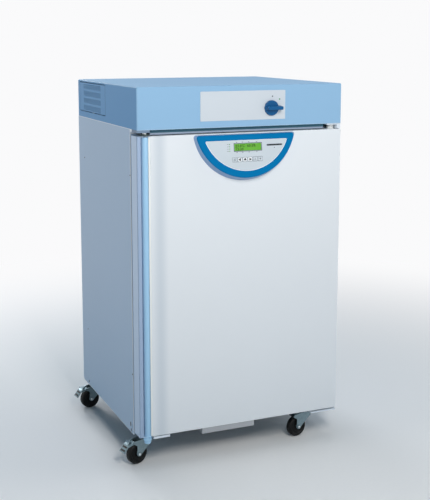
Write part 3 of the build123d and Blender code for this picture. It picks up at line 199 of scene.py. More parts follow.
def end_finish(group, taken, given, tone, rough, height, strength, distance):
    """Give out a finish: its colour made brighter by a tone, a roughness, and the normal of a bump."""
    tinted = add_node(group, "HueSaturation", {"Value": tone, "Color": taken["Colour"]}).outputs["Color"]
    bump = add_node(group, "Bump", {"Strength": strength, "Distance": distance, "Height": height})
    end_group(group, given, {"Colour": tinted, "Roughness": rough, "Normal": bump.outputs["Normal"]})


plain_grey = (0.5, 0.5, 0.5, 1.0)
finish_outputs = {"Colour": "Color", "Roughness": "Float", "Normal": "Vector"}
mask_output = {"Mask": "Float"}
print("a finish gives out", ", ".join(finish_outputs))

# %% [markdown]
# Powder coat has a faint orange peel about a millimetre across, and a large panel is never quite even in
# tone. A fine noise feeds the bump and the roughness, and a broad one the tone.

# %% Powder coat
coat_inputs = {"Colour": plain_grey, "Shine": 0.4, "Mottle": 0.03, "Peel": 0.12}
powder_coat, place, taken, given = start_group("powder coat", coat_inputs, finish_outputs)
peel = noise(powder_coat, place, 620.0, 2.0)
broad = noise(powder_coat, place, 2.2, 3.0)
swing = calculate(powder_coat, "MULTIPLY", calculate(powder_coat, "SUBTRACT", broad, 0.5), taken["Mottle"])
tone = calculate(powder_coat, "ADD", swing, 1.0)
rough = calculate(powder_coat, "MULTIPLY_ADD", peel, 0.12, taken["Shine"])
end_finish(powder_coat, taken, given, tone, rough, peel, taken["Peel"], 0.0003)

# %% [markdown]
# A folded edge catches the light as a thin bright line, and here that highlight is painted into the colour.
# On a cover shaped like a box, a point near an edge is near two faces at once. So the mask takes the
# distance to the nearest face along each axis, and looks at the middle one of the three.

# %% Painted highlight on folded edges
edge_inputs = {"Low": (0.0, 0.0, 0.0), "High": (1.0, 1.0, 1.0), "Width": 0.004}
painted_edge_highlight, place, taken, given = start_group("folded edges", edge_inputs, mask_output)
from_low = on_vectors(painted_edge_highlight, "SUBTRACT", place, taken["Low"])[0]
from_high = on_vectors(painted_edge_highlight, "SUBTRACT", taken["High"], place)[0]
nearest = on_vectors(painted_edge_highlight, "MINIMUM", from_low, from_high)[0]
along = split(painted_edge_highlight, nearest)
lesser = calculate(painted_edge_highlight, "MINIMUM", along[0], along[1])
greater = calculate(painted_edge_highlight, "MAXIMUM", along[0], along[1])
middle = calculate(painted_edge_highlight, "MAXIMUM", lesser, calculate(painted_edge_highlight, "MINIMUM", greater, along[2]))
inside = ramp_between(painted_edge_highlight, calculate(painted_edge_highlight, "DIVIDE", middle, taken["Width"]), 0.25, 1.0)
end_group(painted_edge_highlight, given, {"Mask": calculate(painted_edge_highlight, "SUBTRACT", 1.0, inside)})

# %% [markdown]
# Brushed steel's grain is long along the brushing and fine across it. So the noise's coordinates have a
# scale per axis, small along the grain.

# %% Brushed steel
brush_inputs = {"Colour": plain_grey, "Grain": (8.0, 400.0, 400.0), "Shine": 0.28, "Depth": 0.12}
brushed_steel, place, taken, given = start_group("brushed steel", brush_inputs, finish_outputs)
hair = noise(brushed_steel, on_vectors(brushed_steel, "MULTIPLY", place, taken["Grain"])[0], 1.0, 4.0)
cloud = noise(brushed_steel, place, 5.0, 2.0)
tone = calculate(brushed_steel, "MULTIPLY_ADD", hair, 0.14, 0.90)
tone = calculate(brushed_steel, "MULTIPLY_ADD", cloud, 0.08, tone)
rough = calculate(brushed_steel, "MULTIPLY_ADD", hair, 0.16, taken["Shine"])
end_finish(brushed_steel, taken, given, tone, rough, hair, taken["Depth"], 0.0002)

# %% [markdown]
# Zinc plate shows soft patches a few millimetres across. A Voronoi texture gives each patch its own value,
# and a noise breaks up the straight borders between them.

# %% Zinc plate
zinc_inputs = {"Colour": plain_grey, "Patch": 160.0, "Shine": 0.26}
zinc_plate, place, taken, given = start_group("zinc plate", zinc_inputs, finish_outputs)
cells = add_node(zinc_plate, "TexVoronoi", {"Vector": place, "Scale": taken["Patch"]}).outputs["Color"]
patch = split(zinc_plate, cells)[0]
smear = noise(zinc_plate, place, 240.0, 3.0)
tone = calculate(zinc_plate, "MULTIPLY_ADD", patch, 0.16, 0.86)
tone = calculate(zinc_plate, "MULTIPLY_ADD", smear, 0.10, tone)
rough = calculate(zinc_plate, "MULTIPLY_ADD", smear, 0.20, taken["Shine"])
end_finish(zinc_plate, taken, given, tone, rough, smear, 0.10, 0.0002)

# %% [markdown]
# Moulded plastic and rubber have a fine even grain from the tool. One group serves both, with a finer or a
# coarser grain and more or less depth.

# %% Moulded grain
grain_inputs = {"Colour": plain_grey, "Fineness": 900.0, "Shine": 0.35, "Depth": 0.10}
moulded_grain, place, taken, given = start_group("moulded grain", grain_inputs, finish_outputs)
grain = noise(moulded_grain, place, taken["Fineness"], 2.0)
flow = noise(moulded_grain, place, 14.0, 2.0)
tone = calculate(moulded_grain, "MULTIPLY_ADD", flow, 0.08, 0.96)
rough = calculate(moulded_grain, "MULTIPLY_ADD", grain, 0.15, taken["Shine"])
end_finish(moulded_grain, taken, given, tone, rough, grain, taken["Depth"], 0.0003)

# %% [markdown]
# What is near the floor gathers dust. The mask is strongest at the floor, fades with height and is broken
# up by a noise.

# %% Floor dust
floor_dust, place, taken, given = start_group("floor dust", {"Height": 0.10}, mask_output)
height = split(floor_dust, place)[2]
low = calculate(floor_dust, "SUBTRACT", 1.0, calculate(floor_dust, "DIVIDE", height, taken["Height"]))
drift = ramp_between(floor_dust, noise(floor_dust, place, 130.0, 4.0), 0.42, 0.72)
dusty = add_node(floor_dust, "Math", {0: low, 1: drift}, operation="MULTIPLY", use_clamp=True)
end_group(floor_dust, given, {"Mask": dusty.outputs[0]})

# %% [markdown]
# Some imported pieces carry two finishes, such as a plated catch with a bright screw, and some carry painted
# shade and painted light beside their own colour. A mask tells them apart: it turns on where a point lies
# beyond a level along a direction.

# %% Two finishes on one piece
beyond_inputs = {"Along": (0.0, 0.0, 1.0), "Level": 0.0}
beyond_plane, place, taken, given = start_group("beyond a plane", beyond_inputs, mask_output)
reach = on_vectors(beyond_plane, "DOT_PRODUCT", place, taken["Along"])["Value"]
past = calculate(beyond_plane, "SUBTRACT", reach, taken["Level"])
end_group(beyond_plane, given, {"Mask": ramp_between(beyond_plane, past, -0.0002, 0.0002)})

# %% [markdown]
# Every finish is now one call: it makes a material, places the group, and sets the constants on the shader's
# own sockets, where an export can read them. Painted edge highlights, further colours and dust are laid over
# in turn.

# %% Finishes from the groups
dust_grey = screen(150, 152, 150)


def start_material(name, **constants):
    """A new material, its tree and its shader, with plain values set on the shader's sockets."""
    material = bpy.data.materials.new(name)
    material.use_nodes = True
    shader = material.node_tree.nodes["Principled BSDF"]
    for socket, value in constants.items():
        shader.inputs[socket.replace("_", " ")].default_value = value
    return material, material.node_tree, shader


def use_group(tree, group, feeds):
    """Place a shader group in a material and fill its sockets."""
    made = tree.nodes.new("ShaderNodeGroup")
    made.node_tree = group
    for socket, value in feeds.items():
        made.inputs[socket].default_value = value
    return made.outputs


def make_finish(name, group, feeds, edges=None, others=(), dust=0.0, dust_share=0.0, **constants):
    """A material from a shader group. others are (direction, level, colour), each beyond its own plane."""
    material, tree, shader = start_material(name, **constants)
    finish = use_group(tree, group, feeds)
    colour = finish["Colour"]
    # A painted highlight along the cover's folded edges.
    if edges:
        cover, edge_highlight_colour, width = edges
        low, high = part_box(cover)
        mask = use_group(tree, painted_edge_highlight, {"Low": low, "High": high, "Width": width * MM})["Mask"]
        colour = mix_colours(tree, mask, colour, edge_highlight_colour)
    for along, level, further in others:
        mask = use_group(tree, beyond_plane, {"Along": along, "Level": level})["Mask"]
        colour = mix_colours(tree, mask, colour, further)
    if dust:
        mask = use_group(tree, floor_dust, {"Height": dust * MM})["Mask"]
        colour = mix_colours(tree, calculate(tree, "MULTIPLY", mask, dust_share), colour, dust_grey)
    tree.links.new(colour, shader.inputs["Base Color"])
    for socket in ("Roughness", "Normal"):
        tree.links.new(finish[socket], shader.inputs[socket])
    return material


def painted(name, colour, edges=None, shine=0.34, mottle=0.04, peel=0.12, others=()):
    """Powder coat. edges are a cover's node, the colour of the highlight painted on its folded edges, and
    its width.
    """
    feeds = {"Colour": colour, "Shine": shine, "Mottle": mottle, "Peel": peel}
    return make_finish(name, powder_coat, feeds, edges, others, Specular_IOR_Level=0.15)


def steel(name, colour, grain, shine):
    """Brushed steel, with a scale per axis for its grain."""
    feeds = {"Colour": colour, "Grain": grain, "Shine": shine, "Depth": 0.12}
    return make_finish(name, brushed_steel, feeds, Metallic=1.0)


def plated(name, colour, patch=160.0, shine=0.34, metallic=0.9, dust=0.0, others=()):
    """Zinc or another plate, with dust near the floor if a height is given."""
    feeds = {"Colour": colour, "Patch": patch, "Shine": shine}
    return make_finish(name, zinc_plate, feeds, None, others, dust, 0.5, Metallic=metallic)


def moulded(name, colour, fineness=900.0, shine=0.30, depth=0.10, dust=0.0, others=(), **constants):
    """Moulded plastic or rubber, with dust near the floor if a height is given."""
    feeds = {"Colour": colour, "Fineness": fineness, "Shine": shine, "Depth": depth}
    return make_finish(name, moulded_grain, feeds, None, others, dust, 0.15, **constants)


print("four finishes are ready: painted, steel, plated, moulded")

# %% [markdown]
# The cabinet's own colours: a light blue hood, a white door and a glossier light blue bar. Painted shade and
# painted light are laid over them. The side panels are a bluish white, the hood's left side a deeper blue,
# and the door's side with the profile that holds the bar a cooler white than the door: a painted cool shade.
# The door's front left corner is a darker blue, a painted shade. The bar's flanks and the back of the upper
# keeper are lightened, a painted light against their shadow, and the hinge brackets are painted dark behind
# the front as their shade. The folded edges of the hood, the door and the sides carry a painted highlight.
# The frame behind the door is grey, and painted paler in the recess above it against the recess's shade.

# %% Painted sheet metal
groove_gap = 4.0
edge_width = 3.0
shade_start = -0.3
# Painted shade: the hood's left side is a deeper blue than its front.
hood_side_shade = ((-1, 0, 0), -hood_low.x - 0.2 * MM, screen(116, 168, 212))
white_colour = screen(218, 226, 234)
# Painted shade: the side panels' bluish white is the cool shade they stand in.
side_shade_colour = screen(187, 209, 230)
# Painted highlight: the near white laid along the folded edges of the door and the side panels.
edge_highlight_white = screen(246, 249, 251)
# Painted shade: the door's side and the groove of the bar's profile are a cooler white than the door.
profile_shade_colour = screen(214, 231, 250)
bar_blue = screen(165, 206, 235)
bar_low, bar_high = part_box("handle_bar")
profile_side_shade = ((-1, 0, 0), -(bar_high.x + groove_gap * MM), profile_shade_colour)
# Painted shade: the door's rounded front left corner and the outer lip are a darker blue.
lip_shade_colour = screen(160, 180, 206)
profile_lip_shade = ((-1, -1, 0), -(door_low.x + door_low.y) - 7 * MM, lip_shade_colour)
# Painted light: the upper keeper is near white behind this plane, against the shade in the gap.
keeper_back_lightened = ((0, 1, 0), shade_start, screen(240, 245, 250))
# Painted shade: the hinge brackets are dark behind the same plane.
in_shade = ((0, 1, 0), shade_start, screen(96, 122, 130))
# Painted light: the frame is near white above the door, against the shade of the recess.
recess_lightened = ((0, 0, 1), door_high.z + 0.5 * MM, screen(232, 244, 252))
low_left = (-1, 0, -1)
# Painted light: the bar's flanks are a paler blue, against the shadow of its groove.
bar_flank_light = (((-1, 0, 0), -(bar_low.x + 1 * MM), screen(180, 214, 244)),
              ((1, 0, 0), bar_high.x - 1 * MM, screen(214, 232, 248)))
finishes = {
    # The hood's folded edges carry a painted highlight in a paler blue.
    "hood_blue": painted("hood blue", screen(144, 183, 214), ("hood_shell", screen(176, 206, 230), 2.2),
                         shine=0.5, others=(hood_side_shade,)),
    "cabinet_white": painted("cabinet white", white_colour),
    "handle_blue": painted("handle blue", bar_blue, shine=0.18, peel=0.05, others=bar_flank_light),
    "recess_grey": painted("frame grey", screen(204, 210, 214), shine=0.4, others=(recess_lightened,)),
    "frame_steel": painted("base steel", screen(150, 160, 168), shine=0.45),
    "plate_grey": painted("switch plate film", screen(204, 211, 217), shine=0.42, mottle=0.02, peel=0.05),
    "black_steel": painted("compressor enamel", screen(30, 31, 33), shine=0.25),
    "motor_grey": painted("motor paint", screen(96, 100, 106), shine=0.4),
}
own_paint = {
    "door_skin": painted("door white", screen(227, 231, 234), ("door_skin", edge_highlight_white, edge_width),
                         others=(profile_side_shade, profile_lip_shade)),
    "latch_keepers": painted("keeper grey", screen(120, 140, 162),
                             others=((low_left, 0.0, white_colour), keeper_back_lightened)),
    "hinge_brackets": painted("hinge white", white_colour, others=(in_shade,)),
}
for side in ("left", "right"):
    panel = side + "_side_panel"
    own_paint[panel] = painted(side + " side white", side_shade_colour, (panel, edge_highlight_white, edge_width))
print("painted finishes:", ", ".join(finishes))

# %% [markdown]
# A soft grey band runs down the whole door, a little to the right of the bar, where the skin may have a
# shallow roll. Here it is a painted shade, a faint grey that fades out on both sides.

# %% Painted soft shade on the door
band_middle = bar_high.x + 35 * MM
band_reach = 36 * MM
band_shade_grey = screen(208, 215, 221)
door_tree = own_paint["door_skin"].node_tree
skin_socket = door_tree.nodes["Principled BSDF"].inputs["Base Color"]
skin_coat = skin_socket.links[0].from_socket
across = split(door_tree, object_place(door_tree))[0]
away = calculate(door_tree, "ABSOLUTE", calculate(door_tree, "SUBTRACT", across, band_middle))
outside = ramp_between(door_tree, away, 0.0, band_reach)
door_tree.links.new(mix_colours(door_tree, outside, band_shade_grey, skin_coat), skin_socket)
band_ends = [round((band_middle + side * band_reach) / MM) for side in (-1, 1)]
print("door band between", band_ends, "mm")

# %% [markdown]
# Bare metals: the chamber and the tray are brushed along X, the back panel and the casters are zinc plated,
# and the coils are plain aluminium. Brass and a dark plate complete the set.

# %% Bare metals
finishes["chamber_steel"] = steel("chamber steel", screen(182, 186, 191), (6.0, 260.0, 420.0), shine=0.42)
finishes["zinc_steel"] = plated("zinc plate", screen(132, 152, 160), dust=70.0)
finishes["coil_aluminium"] = steel("coil aluminium", screen(214, 216, 218), (300.0, 300.0, 20.0), shine=0.35)
finishes["water_brass"] = plated("turned brass", screen(214, 178, 104), patch=60.0, shine=0.2, metallic=1.0)
catch_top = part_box("handle_catches")[1].z
screw_level = catch_top - 3.3 * MM
catch_tones = (((0, 0, 1), screw_level, screen(222, 226, 224)), (low_left, 0.0, bar_blue))
finishes["latch_dark"] = plated("dark plate", screen(72, 84, 84), patch=220.0, shine=0.3, others=catch_tones)
print("with the metals there are", len(finishes), "finishes")

# %% [markdown]
# Plastics and rubber. The round keys and the hinge bush are white, the square keys are like the fascia, the
# knob is a deep blue, and the seal, the wheels and the small fittings are grey or black. Foam is the same
# group with a coarse deep grain.

# %% Plastics, rubber and foam
finishes["knob_blue"] = moulded("knob blue", screen(4, 84, 136), depth=0.06, Specular_IOR_Level=0.25)
finishes["fascia_grey"] = moulded("fascia film", screen(198, 207, 213), 1400.0, shine=0.38, depth=0.05)
finishes["key_white"] = moulded("key white", screen(240, 243, 245), shine=0.35)
for key in ("key_menu", "key_enter", "key_light"):
    own_paint[key] = finishes["fascia_grey"]
bush_tones = ((low_left, 0.0, bar_blue),)
finishes["bush_white"] = moulded("bush white", screen(240, 241, 238), others=bush_tones)
finishes["seal_grey"] = moulded("seal grey", screen(140, 145, 148), fineness=500.0, shine=0.55, depth=0.2)
finishes["black_plastic"] = moulded("black plastic", screen(34, 35, 37), fineness=700.0, shine=0.38)
finishes["port_plastic"] = moulded("port plastic", screen(224, 226, 224), shine=0.36)
finishes["wheel_black"] = moulded("wheel rubber", screen(9, 11, 12), fineness=420.0, shine=0.42, depth=0.2,
                                  dust=22.0, Specular_IOR_Level=0.2)
finishes["foam"] = moulded("cut foam", screen(232, 214, 160), fineness=260.0, shine=0.85, depth=0.6)
print("with the plastics there are", len(finishes), "finishes")

# %% [markdown]
# The control panel's housing is one blue moulding, but only its rim is bright. Its flared wall is a greyer
# blue, a painted shade and a painted reflection of the white door, and a pale line between the two is a
# painted highlight. The panel leans back, so the mask measures how far a point lies behind the panel's face,
# along the face's own normal.

# %% The leaning panel, and painted shade and highlight on its housing
rim_stand = 14.0
foot_stand = 30.0
rim_height = 145.0
rim_drop = 5.5
panel_shift = 6.0
lean = atan2(foot_stand - rim_stand, rim_height)
panel_origin = Vector((panel_shift * MM, door_low.y - rim_stand * MM, door_high.z - rim_drop * MM))
panel_out = Vector((0.0, -cos(lean), sin(lean)))
panel_up = Vector((0.0, sin(lean), cos(lean)))
panel_turn = Matrix((Vector((1, 0, 0)), panel_up, panel_out)).transposed()
panel_place = Matrix.Translation(panel_origin) @ panel_turn.to_4x4()

line_depth = 5.2
wall_depth = 6.6
face_reach = -panel_origin.dot(panel_out)
# Painted highlight: a pale line where the rim meets the wall. Painted shade: the wall's greyer blue.
rim_highlight = (-panel_out, face_reach + line_depth * MM, screen(140, 178, 208))
wall_shade = (-panel_out, face_reach + wall_depth * MM, screen(138, 162, 196))
finishes["panel_blue"] = moulded("housing blue", screen(0, 114, 170), 800.0, 0.34, 0.05,
                                 others=(rim_highlight, wall_shade), Specular_IOR_Level=0.06)
print("the panel leans back by", round(lean * 180 / pi, 2), "degrees")

# %% [markdown]
# The display is lit from behind, so its window glows: the colour goes to the emission as well as to the
# base. Fine lines between the character cells darken it a little. The lamps glow in the same way.

# %% Lit display, lamps and circuit board
cell_width = 5.6


def glow(tree, shader, lit):
    """Give a colour to a shader's base and to its emission."""
    for socket in ("Base Color", "Emission Color"):
        tree.links.new(lit, shader.inputs[socket])


finishes["display_green"], tree, shader = start_material("display green", Emission_Strength=0.10,
                                                         Roughness=0.25)
place = object_place(tree)
cells = calculate(tree, "PINGPONG", split(tree, place)[0], cell_width * MM / 2)
gap = ramp_between(tree, cells, 0.00035, 0.0001)
lit = mix_colours(tree, noise(tree, place, 26.0, 1.0), screen(84, 156, 34), screen(104, 174, 50))
glow(tree, shader, mix_colours(tree, calculate(tree, "MULTIPLY", gap, 0.15), lit, screen(60, 120, 30)))

finishes["lamp_green"], tree, shader = start_material("lamp green", Emission_Strength=0.25, Roughness=0.2,
                                                      Coat_Weight=0.5)
uneven = noise(tree, object_place(tree), 400.0, 2.0)
glow(tree, shader, mix_colours(tree, uneven, screen(60, 130, 60), screen(110, 170, 100)))

finishes["board_green"], tree, shader = start_material("circuit board", Roughness=0.4)
brick_feeds = {"Vector": object_place(tree), "Scale": 90.0, "Color1": screen(20, 90, 50),
               "Color2": screen(26, 104, 58), "Mortar": screen(70, 150, 90)}
tracks = add_node(tree, "TexBrick", brick_feeds).outputs["Color"]
tree.links.new(tracks, shader.inputs["Base Color"])
print("with the lit ones there are", len(finishes), "finishes")

# %% [markdown]
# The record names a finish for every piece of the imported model. One loop puts it in the piece's material
# slot. The meshes themselves stay untouched.

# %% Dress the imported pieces
subparts = frame["record"]["subparts"]
for subpart in subparts:
    node_name = subpart["node"]
    materials = frame["nodes"][node_name].data.materials
    materials.clear()
    materials.append(own_paint.get(node_name, finishes[subpart["material_slot"]]))
print("dressed", len(subparts), "packed pieces")

# %% [markdown]
# New pieces start as a bmesh, a mesh under construction. This helper closes the work: it points the faces
# outwards, smooths all but the sharp edges, and hands the finished object to the body that it moves with.

# %% Finish a new piece
sharp_angle = radians(35.0)


def make_mesh(shape, name):
    """Turn a bmesh into a mesh, and free it."""
    mesh = bpy.data.meshes.new(name)
    shape.to_mesh(mesh)
    shape.free()
    return mesh


def finish_piece(shape, name, body, slot, material=None):
    """Turn a bmesh into an object that rides on a body and takes a finish."""
    bmesh.ops.recalc_face_normals(shape, faces=shape.faces)
    mesh = make_mesh(shape, name)
    mesh.materials.append(material or finishes[slot])
    mesh.shade_smooth()
    mesh.set_sharp_from_angle(angle=sharp_angle)
    piece = put_in_scene(name, mesh)
    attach(piece, body)
    print(name, "rides on", body, "with", len(mesh.polygons), "faces")
    return piece


print("edges sharper than", round(sharp_angle * 180 / pi), "degrees stay sharp")

# %% [markdown]
# A few steps come back in most shapes: they are moved, turned, rounded, cut and thickened.

# %% Helpers for shapes
def move(shape, step):
    """Move a whole shape by a step in metres."""
    bmesh.ops.translate(shape, vec=step, verts=shape.verts)


def lay(shape, matrix):
    """Turn and move a whole shape by a matrix."""
    bmesh.ops.transform(shape, matrix=matrix, verts=shape.verts)
    return shape


def round_edges(shape, edges, offset, segments=2):
    """Round edges by an offset in millimetres."""
    bmesh.ops.bevel(shape, geom=edges, offset=offset * MM, segments=segments, profile=0.5, affect="EDGES",
                    material=-1)


def cut_off(shape, point, direction):
    """Cut a shape by a plane through a point, and drop what lies beyond it."""
    bmesh.ops.bisect_plane(shape, geom=shape.verts[:] + shape.edges[:] + shape.faces[:], dist=1e-7,
                           plane_co=point, plane_no=direction, clear_outer=True)


def corners(items):
    """The corners among the items that an operator hands back."""
    return [item for item in items if isinstance(item, bmesh.types.BMVert)]


def thicken(shape, faces, thick):
    """Draw flat faces up by a thickness in millimetres."""
    lifted = bmesh.ops.extrude_face_region(shape, geom=faces)["geom"]
    bmesh.ops.translate(shape, vec=mm(0, 0, thick), verts=corners(lifted))


print("shapes can be moved, laid, rounded, cut and thickened")

# %% [markdown]
# Bars and rounded frames are the two shapes that most of the small pieces are made of.

# %% Bars and outlines
def add_bar(shape, size, place, round_off=0.0):
    """A box of a size about a place, in millimetres, with its edges rounded if asked."""
    made = bmesh.ops.create_cube(shape, size=1.0)["verts"]
    bmesh.ops.scale(shape, vec=mm(*size), verts=made)
    bmesh.ops.translate(shape, vec=mm(*place), verts=made)
    if round_off:
        round_edges(shape, list({edge for vert in made for edge in vert.link_edges}), round_off)


def add_outline(shape, size, place, line, corner, thick):
    """A rounded frame: a face with bevelled corners is inset, opened and given a thickness."""
    made = bmesh.ops.create_grid(shape, x_segments=1, y_segments=1, size=0.5)["verts"]
    bmesh.ops.scale(shape, vec=mm(size[0], size[1], 1), verts=made)
    bmesh.ops.translate(shape, vec=mm(*place), verts=made)
    if corner:
        made = bmesh.ops.bevel(shape, geom=made, offset=corner * MM, segments=4, profile=0.5,
                               affect="VERTICES", material=-1)["verts"]
    face = made[0].link_faces[0]
    ring = bmesh.ops.inset_individual(shape, faces=[face], thickness=line * MM)["faces"]
    bmesh.ops.delete(shape, geom=[face], context="FACES")
    thicken(shape, ring, thick)


print("bars and outlines are ready")

# %% [markdown]
# The door's seal is a rubber profile: a flat foot on the door, a folding waist, and a thick head that meets
# the frame. Its corners are plain mitres, so a stack of rectangular frames gives its shape.

# %% Door seal
seal_low, seal_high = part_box("door_gasket")
seal_size = (seal_high - seal_low) / MM
seal_middle = (seal_high + seal_low) / 2
seal_steps = ((18.0, 0.0, 2.4), (9.0, 4.5, 1.2), (14.0, 2.0, 2.0), (9.0, 4.5, 1.0), (17.0, 0.5, 5.1))
shape = bmesh.new()
level = 0.0
for line, inset, thick in seal_steps:
    add_outline(shape, (seal_size.x - 2 * inset, seal_size.z - 2 * inset), (0, 0, level), line, 0, thick)
    level += thick
lay(shape, Matrix.Rotation(-pi / 2, 4, "X"))
move(shape, (seal_middle.x, seal_low.y, seal_middle.z))
seal = finish_piece(shape, "seal_profile", "door", "seal_grey")
seal_edge = seal.modifiers.new("rounded", "BEVEL")
seal_edge.width = 0.6 * MM
seal_edge.segments = 2
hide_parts("door_gasket")
print("seal", round(level, 2), "mm thick")

# %% [markdown]
# Everything printed on the panel is a film of ink a tenth of a millimetre thick. It is drawn flat, in the
# panel's own millimetres, with its origin at the middle of the panel's top edge, and then laid on the
# leaning face in one move.

# %% Inks and the move to the panel
ink_grain = 1500.0
ink_depth = 0.03
dark_ink = moulded("dark ink", screen(6, 8, 9), ink_grain, 0.6, ink_depth, Specular_IOR_Level=0.2)
grey_ink = moulded("grey ink", screen(96, 104, 112), ink_grain, 0.5, ink_depth)
pale_ink = moulded("pale ink", screen(244, 247, 250), ink_grain, 0.4, ink_depth)
green_ink = moulded("green ink", screen(40, 140, 72), ink_grain, 0.5, ink_depth)
face_level = -0.5
ink = 0.12


def on_panel(shape, name, finish, body="door", slot="fascia_grey"):
    """Lay a flat shape on the leaning panel and finish it."""
    finish_piece(lay(shape, panel_place), name, body, slot, finish)


print("inks are ready")

# %% [markdown]
# The pale film of the control panel ends in a bright edge, a half-moon like the housing's. A half-moon is a
# circle's cap: the circle through the chord's two ends and the lowest point, cut along the chord.

# %% Bright edge of the panel's film
half_chord = 152.4
moon_height = 104.0
moon_drop = 18.4
moon_line = 1.3
moon_thick = 0.3
moon_radius = (half_chord ** 2 + moon_height ** 2) / (2 * moon_height)
shape = bmesh.new()
bmesh.ops.create_circle(shape, cap_ends=True, segments=180, radius=moon_radius * MM)
move(shape, mm(0, moon_radius - moon_height - moon_drop, face_level))
cut_off(shape, mm(0, -moon_drop, 0), (0, 1, 0))
moon = shape.faces[:]
band = bmesh.ops.inset_individual(shape, faces=moon, thickness=moon_line * MM)["faces"]
bmesh.ops.delete(shape, geom=moon, context="FACES")
thicken(shape, band, moon_thick)
on_panel(shape, "film_edge", pale_ink)

# %% [markdown]
# Round the window runs a grey frame, and four ticks above and below it point at the values that it shows.
# Lines beside the lamps, an outline round each key and an edge round the card slot follow.

# %% Print on the panel
window_place = (3.0, -42.0)
window_size = (100.0, 24.0)
tick_shares = (0.09, 0.30, 0.54, 0.83)
key_pitch = 19.0
key_row = -83.5
lamp_place = (-64.5, -42.5)
lamp_pitch = 7.6
slot_place = (103.0, -38.0)

shape = bmesh.new()
add_outline(shape, (window_size[0] + 5, window_size[1] + 5), (*window_place, face_level), 2.2, 1.6, 0.35)
on_panel(shape, "window_frame", grey_ink)

shape = bmesh.new()
for share in tick_shares:
    across = window_place[0] + (share - 0.5) * window_size[0]
    for side in (-1, 1):
        up = window_place[1] + side * (window_size[1] / 2 + 5.2)
        add_bar(shape, (3.6, 1.7, ink), (across, up, face_level + ink / 2))
for row in range(4):
    up = lamp_place[1] + (row - 1.5) * lamp_pitch
    add_bar(shape, (5.0, 1.1, ink), (lamp_place[0] - 6.5, up, face_level + ink / 2))
on_panel(shape, "panel_print", dark_ink)

shape = bmesh.new()
for number in range(6):
    across = (number - 2.5) * key_pitch
    add_outline(shape, (17.4, 16.4), (across, key_row, face_level), 0.7, 1.5, ink)
on_panel(shape, "key_outlines", grey_ink)

shape = bmesh.new()
add_outline(shape, (59.0, 6.2), (*slot_place, face_level), 1.3, 2.6, 0.4)
on_panel(shape, "card_slot_edge", grey_ink)

shape = bmesh.new()
add_bar(shape, (55.4, 2.7, 0.3), (*slot_place, face_level - 0.7))
on_panel(shape, "card_slot_lining", dark_ink, slot="black_plastic")

# %% [markdown]
# A triangle is a circle of three segments, which saves drawing its corners by hand. The same helper makes
# the card slot's mark and the arrows on the round keys. Each key's mark rides on its own key, so that it
# goes down with it.

# %% Triangles and marks on the keys
def add_flat_circle(shape, segments, radius, place, thick, turn=0.0):
    """A flat disc, or a triangle with three segments, with a thickness."""
    made = bmesh.ops.create_circle(shape, cap_ends=True, segments=segments, radius=radius * MM)["verts"]
    bmesh.ops.rotate(shape, cent=(0, 0, 0), matrix=Matrix.Rotation(turn, 3, "Z"), verts=made)
    bmesh.ops.translate(shape, vec=mm(*place), verts=made)
    thicken(shape, [made[0].link_faces[0]], thick)


key_top = 0.3
arrow_turns = {"key_left": pi / 2, "key_up": 0.0, "key_right": -pi / 2}
for number, key in enumerate(("key_menu", "key_left", "key_up", "key_right", "key_enter", "key_light")):
    across = (number - 2.5) * key_pitch
    shape = bmesh.new()
    if key in arrow_turns:
        add_flat_circle(shape, 3, 6.0, (across, key_row, key_top), ink, arrow_turns[key])
    elif key == "key_light":
        add_flat_circle(shape, 20, 2.2, (across, key_row, key_top), ink)
    else:
        for step in (-1, 0, 1):
            wide = 7.0 if key == "key_menu" else 7.0 - 2.0 * (step + 1)
            add_bar(shape, (wide, 0.9, ink), (across, key_row + step * 2.6, key_top + ink / 2))
    on_panel(shape, key + "_mark", dark_ink, key, "key_white")

shape = bmesh.new()
add_flat_circle(shape, 3, 2.4, (slot_place[0], slot_place[1] - 9.5, face_level), ink, pi)
on_panel(shape, "card_mark", dark_ink)

# %% [markdown]
# The window shows numbers in two rows of dark characters. Text starts as a text object. It is made a mesh
# first, and only then laid in the window, so that the finished object sits at the origin like all others.

# %% Numbers in the window
glass_level = -0.9
character_height = 8.6
rows = (("23.0'C  60.0%", 4.8, -46.0), ("12:30", -6.0, -46.0))


def text_shape(words, height, place):
    """Words as flat shapes in a bmesh, from the left end of their base line."""
    curve = bpy.data.curves.new("words", "FONT")
    curve.body = words
    curve.size = height * MM / 0.72
    curve.space_character = 1.12
    curve.extrude = 0.06 * MM
    curve.offset = 0.16 * MM
    curve.resolution_u = 4
    holder = bpy.data.objects.new("words", curve)
    mesh = bpy.data.meshes.new_from_object(holder)
    made = bmesh.new()
    made.from_mesh(mesh)
    bpy.data.batch_remove([holder, curve, mesh])
    move(made, mm(*place))
    return made


for number, (words, up, across) in enumerate(rows):
    base = (window_place[0] + across, window_place[1] + up - character_height / 2, glass_level + 0.06)
    shape = text_shape(words, character_height, base)
    on_panel(shape, "window_row_" + str(number + 1), dark_ink, slot="display_green")

# %% [markdown]
# Two small printed dots on the pale plate show where the main switch's pointer stands: grey for off, green
# for on. The plate faces the front, so what is drawn flat is turned up about X and moved to the plate.

# %% Dots at the main switch
dots = {"off_dot": (108.6, 1266.4, grey_ink), "on_dot": (135.8, 1256.1, green_ink)}
dot_radius = 2.6
stand_up = Matrix.Rotation(pi / 2, 4, "X")
on_plate = Matrix.Translation((0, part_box("switch_plate")[0].y, 0)) @ stand_up
for name, (across, up, colour) in dots.items():
    shape = bmesh.new()
    add_flat_circle(shape, 24, dot_radius, (across, up, 0), ink)
    finish_piece(lay(shape, on_plate), name, "cabinet", "plate_grey", colour)

# %% [markdown]
# Behind the hood's side grille lies a filter mat, which is what one sees through the slots. It is a thin
# pleated sheet: a grid whose rows are pushed in and out in turn, with a thickness added afterwards.

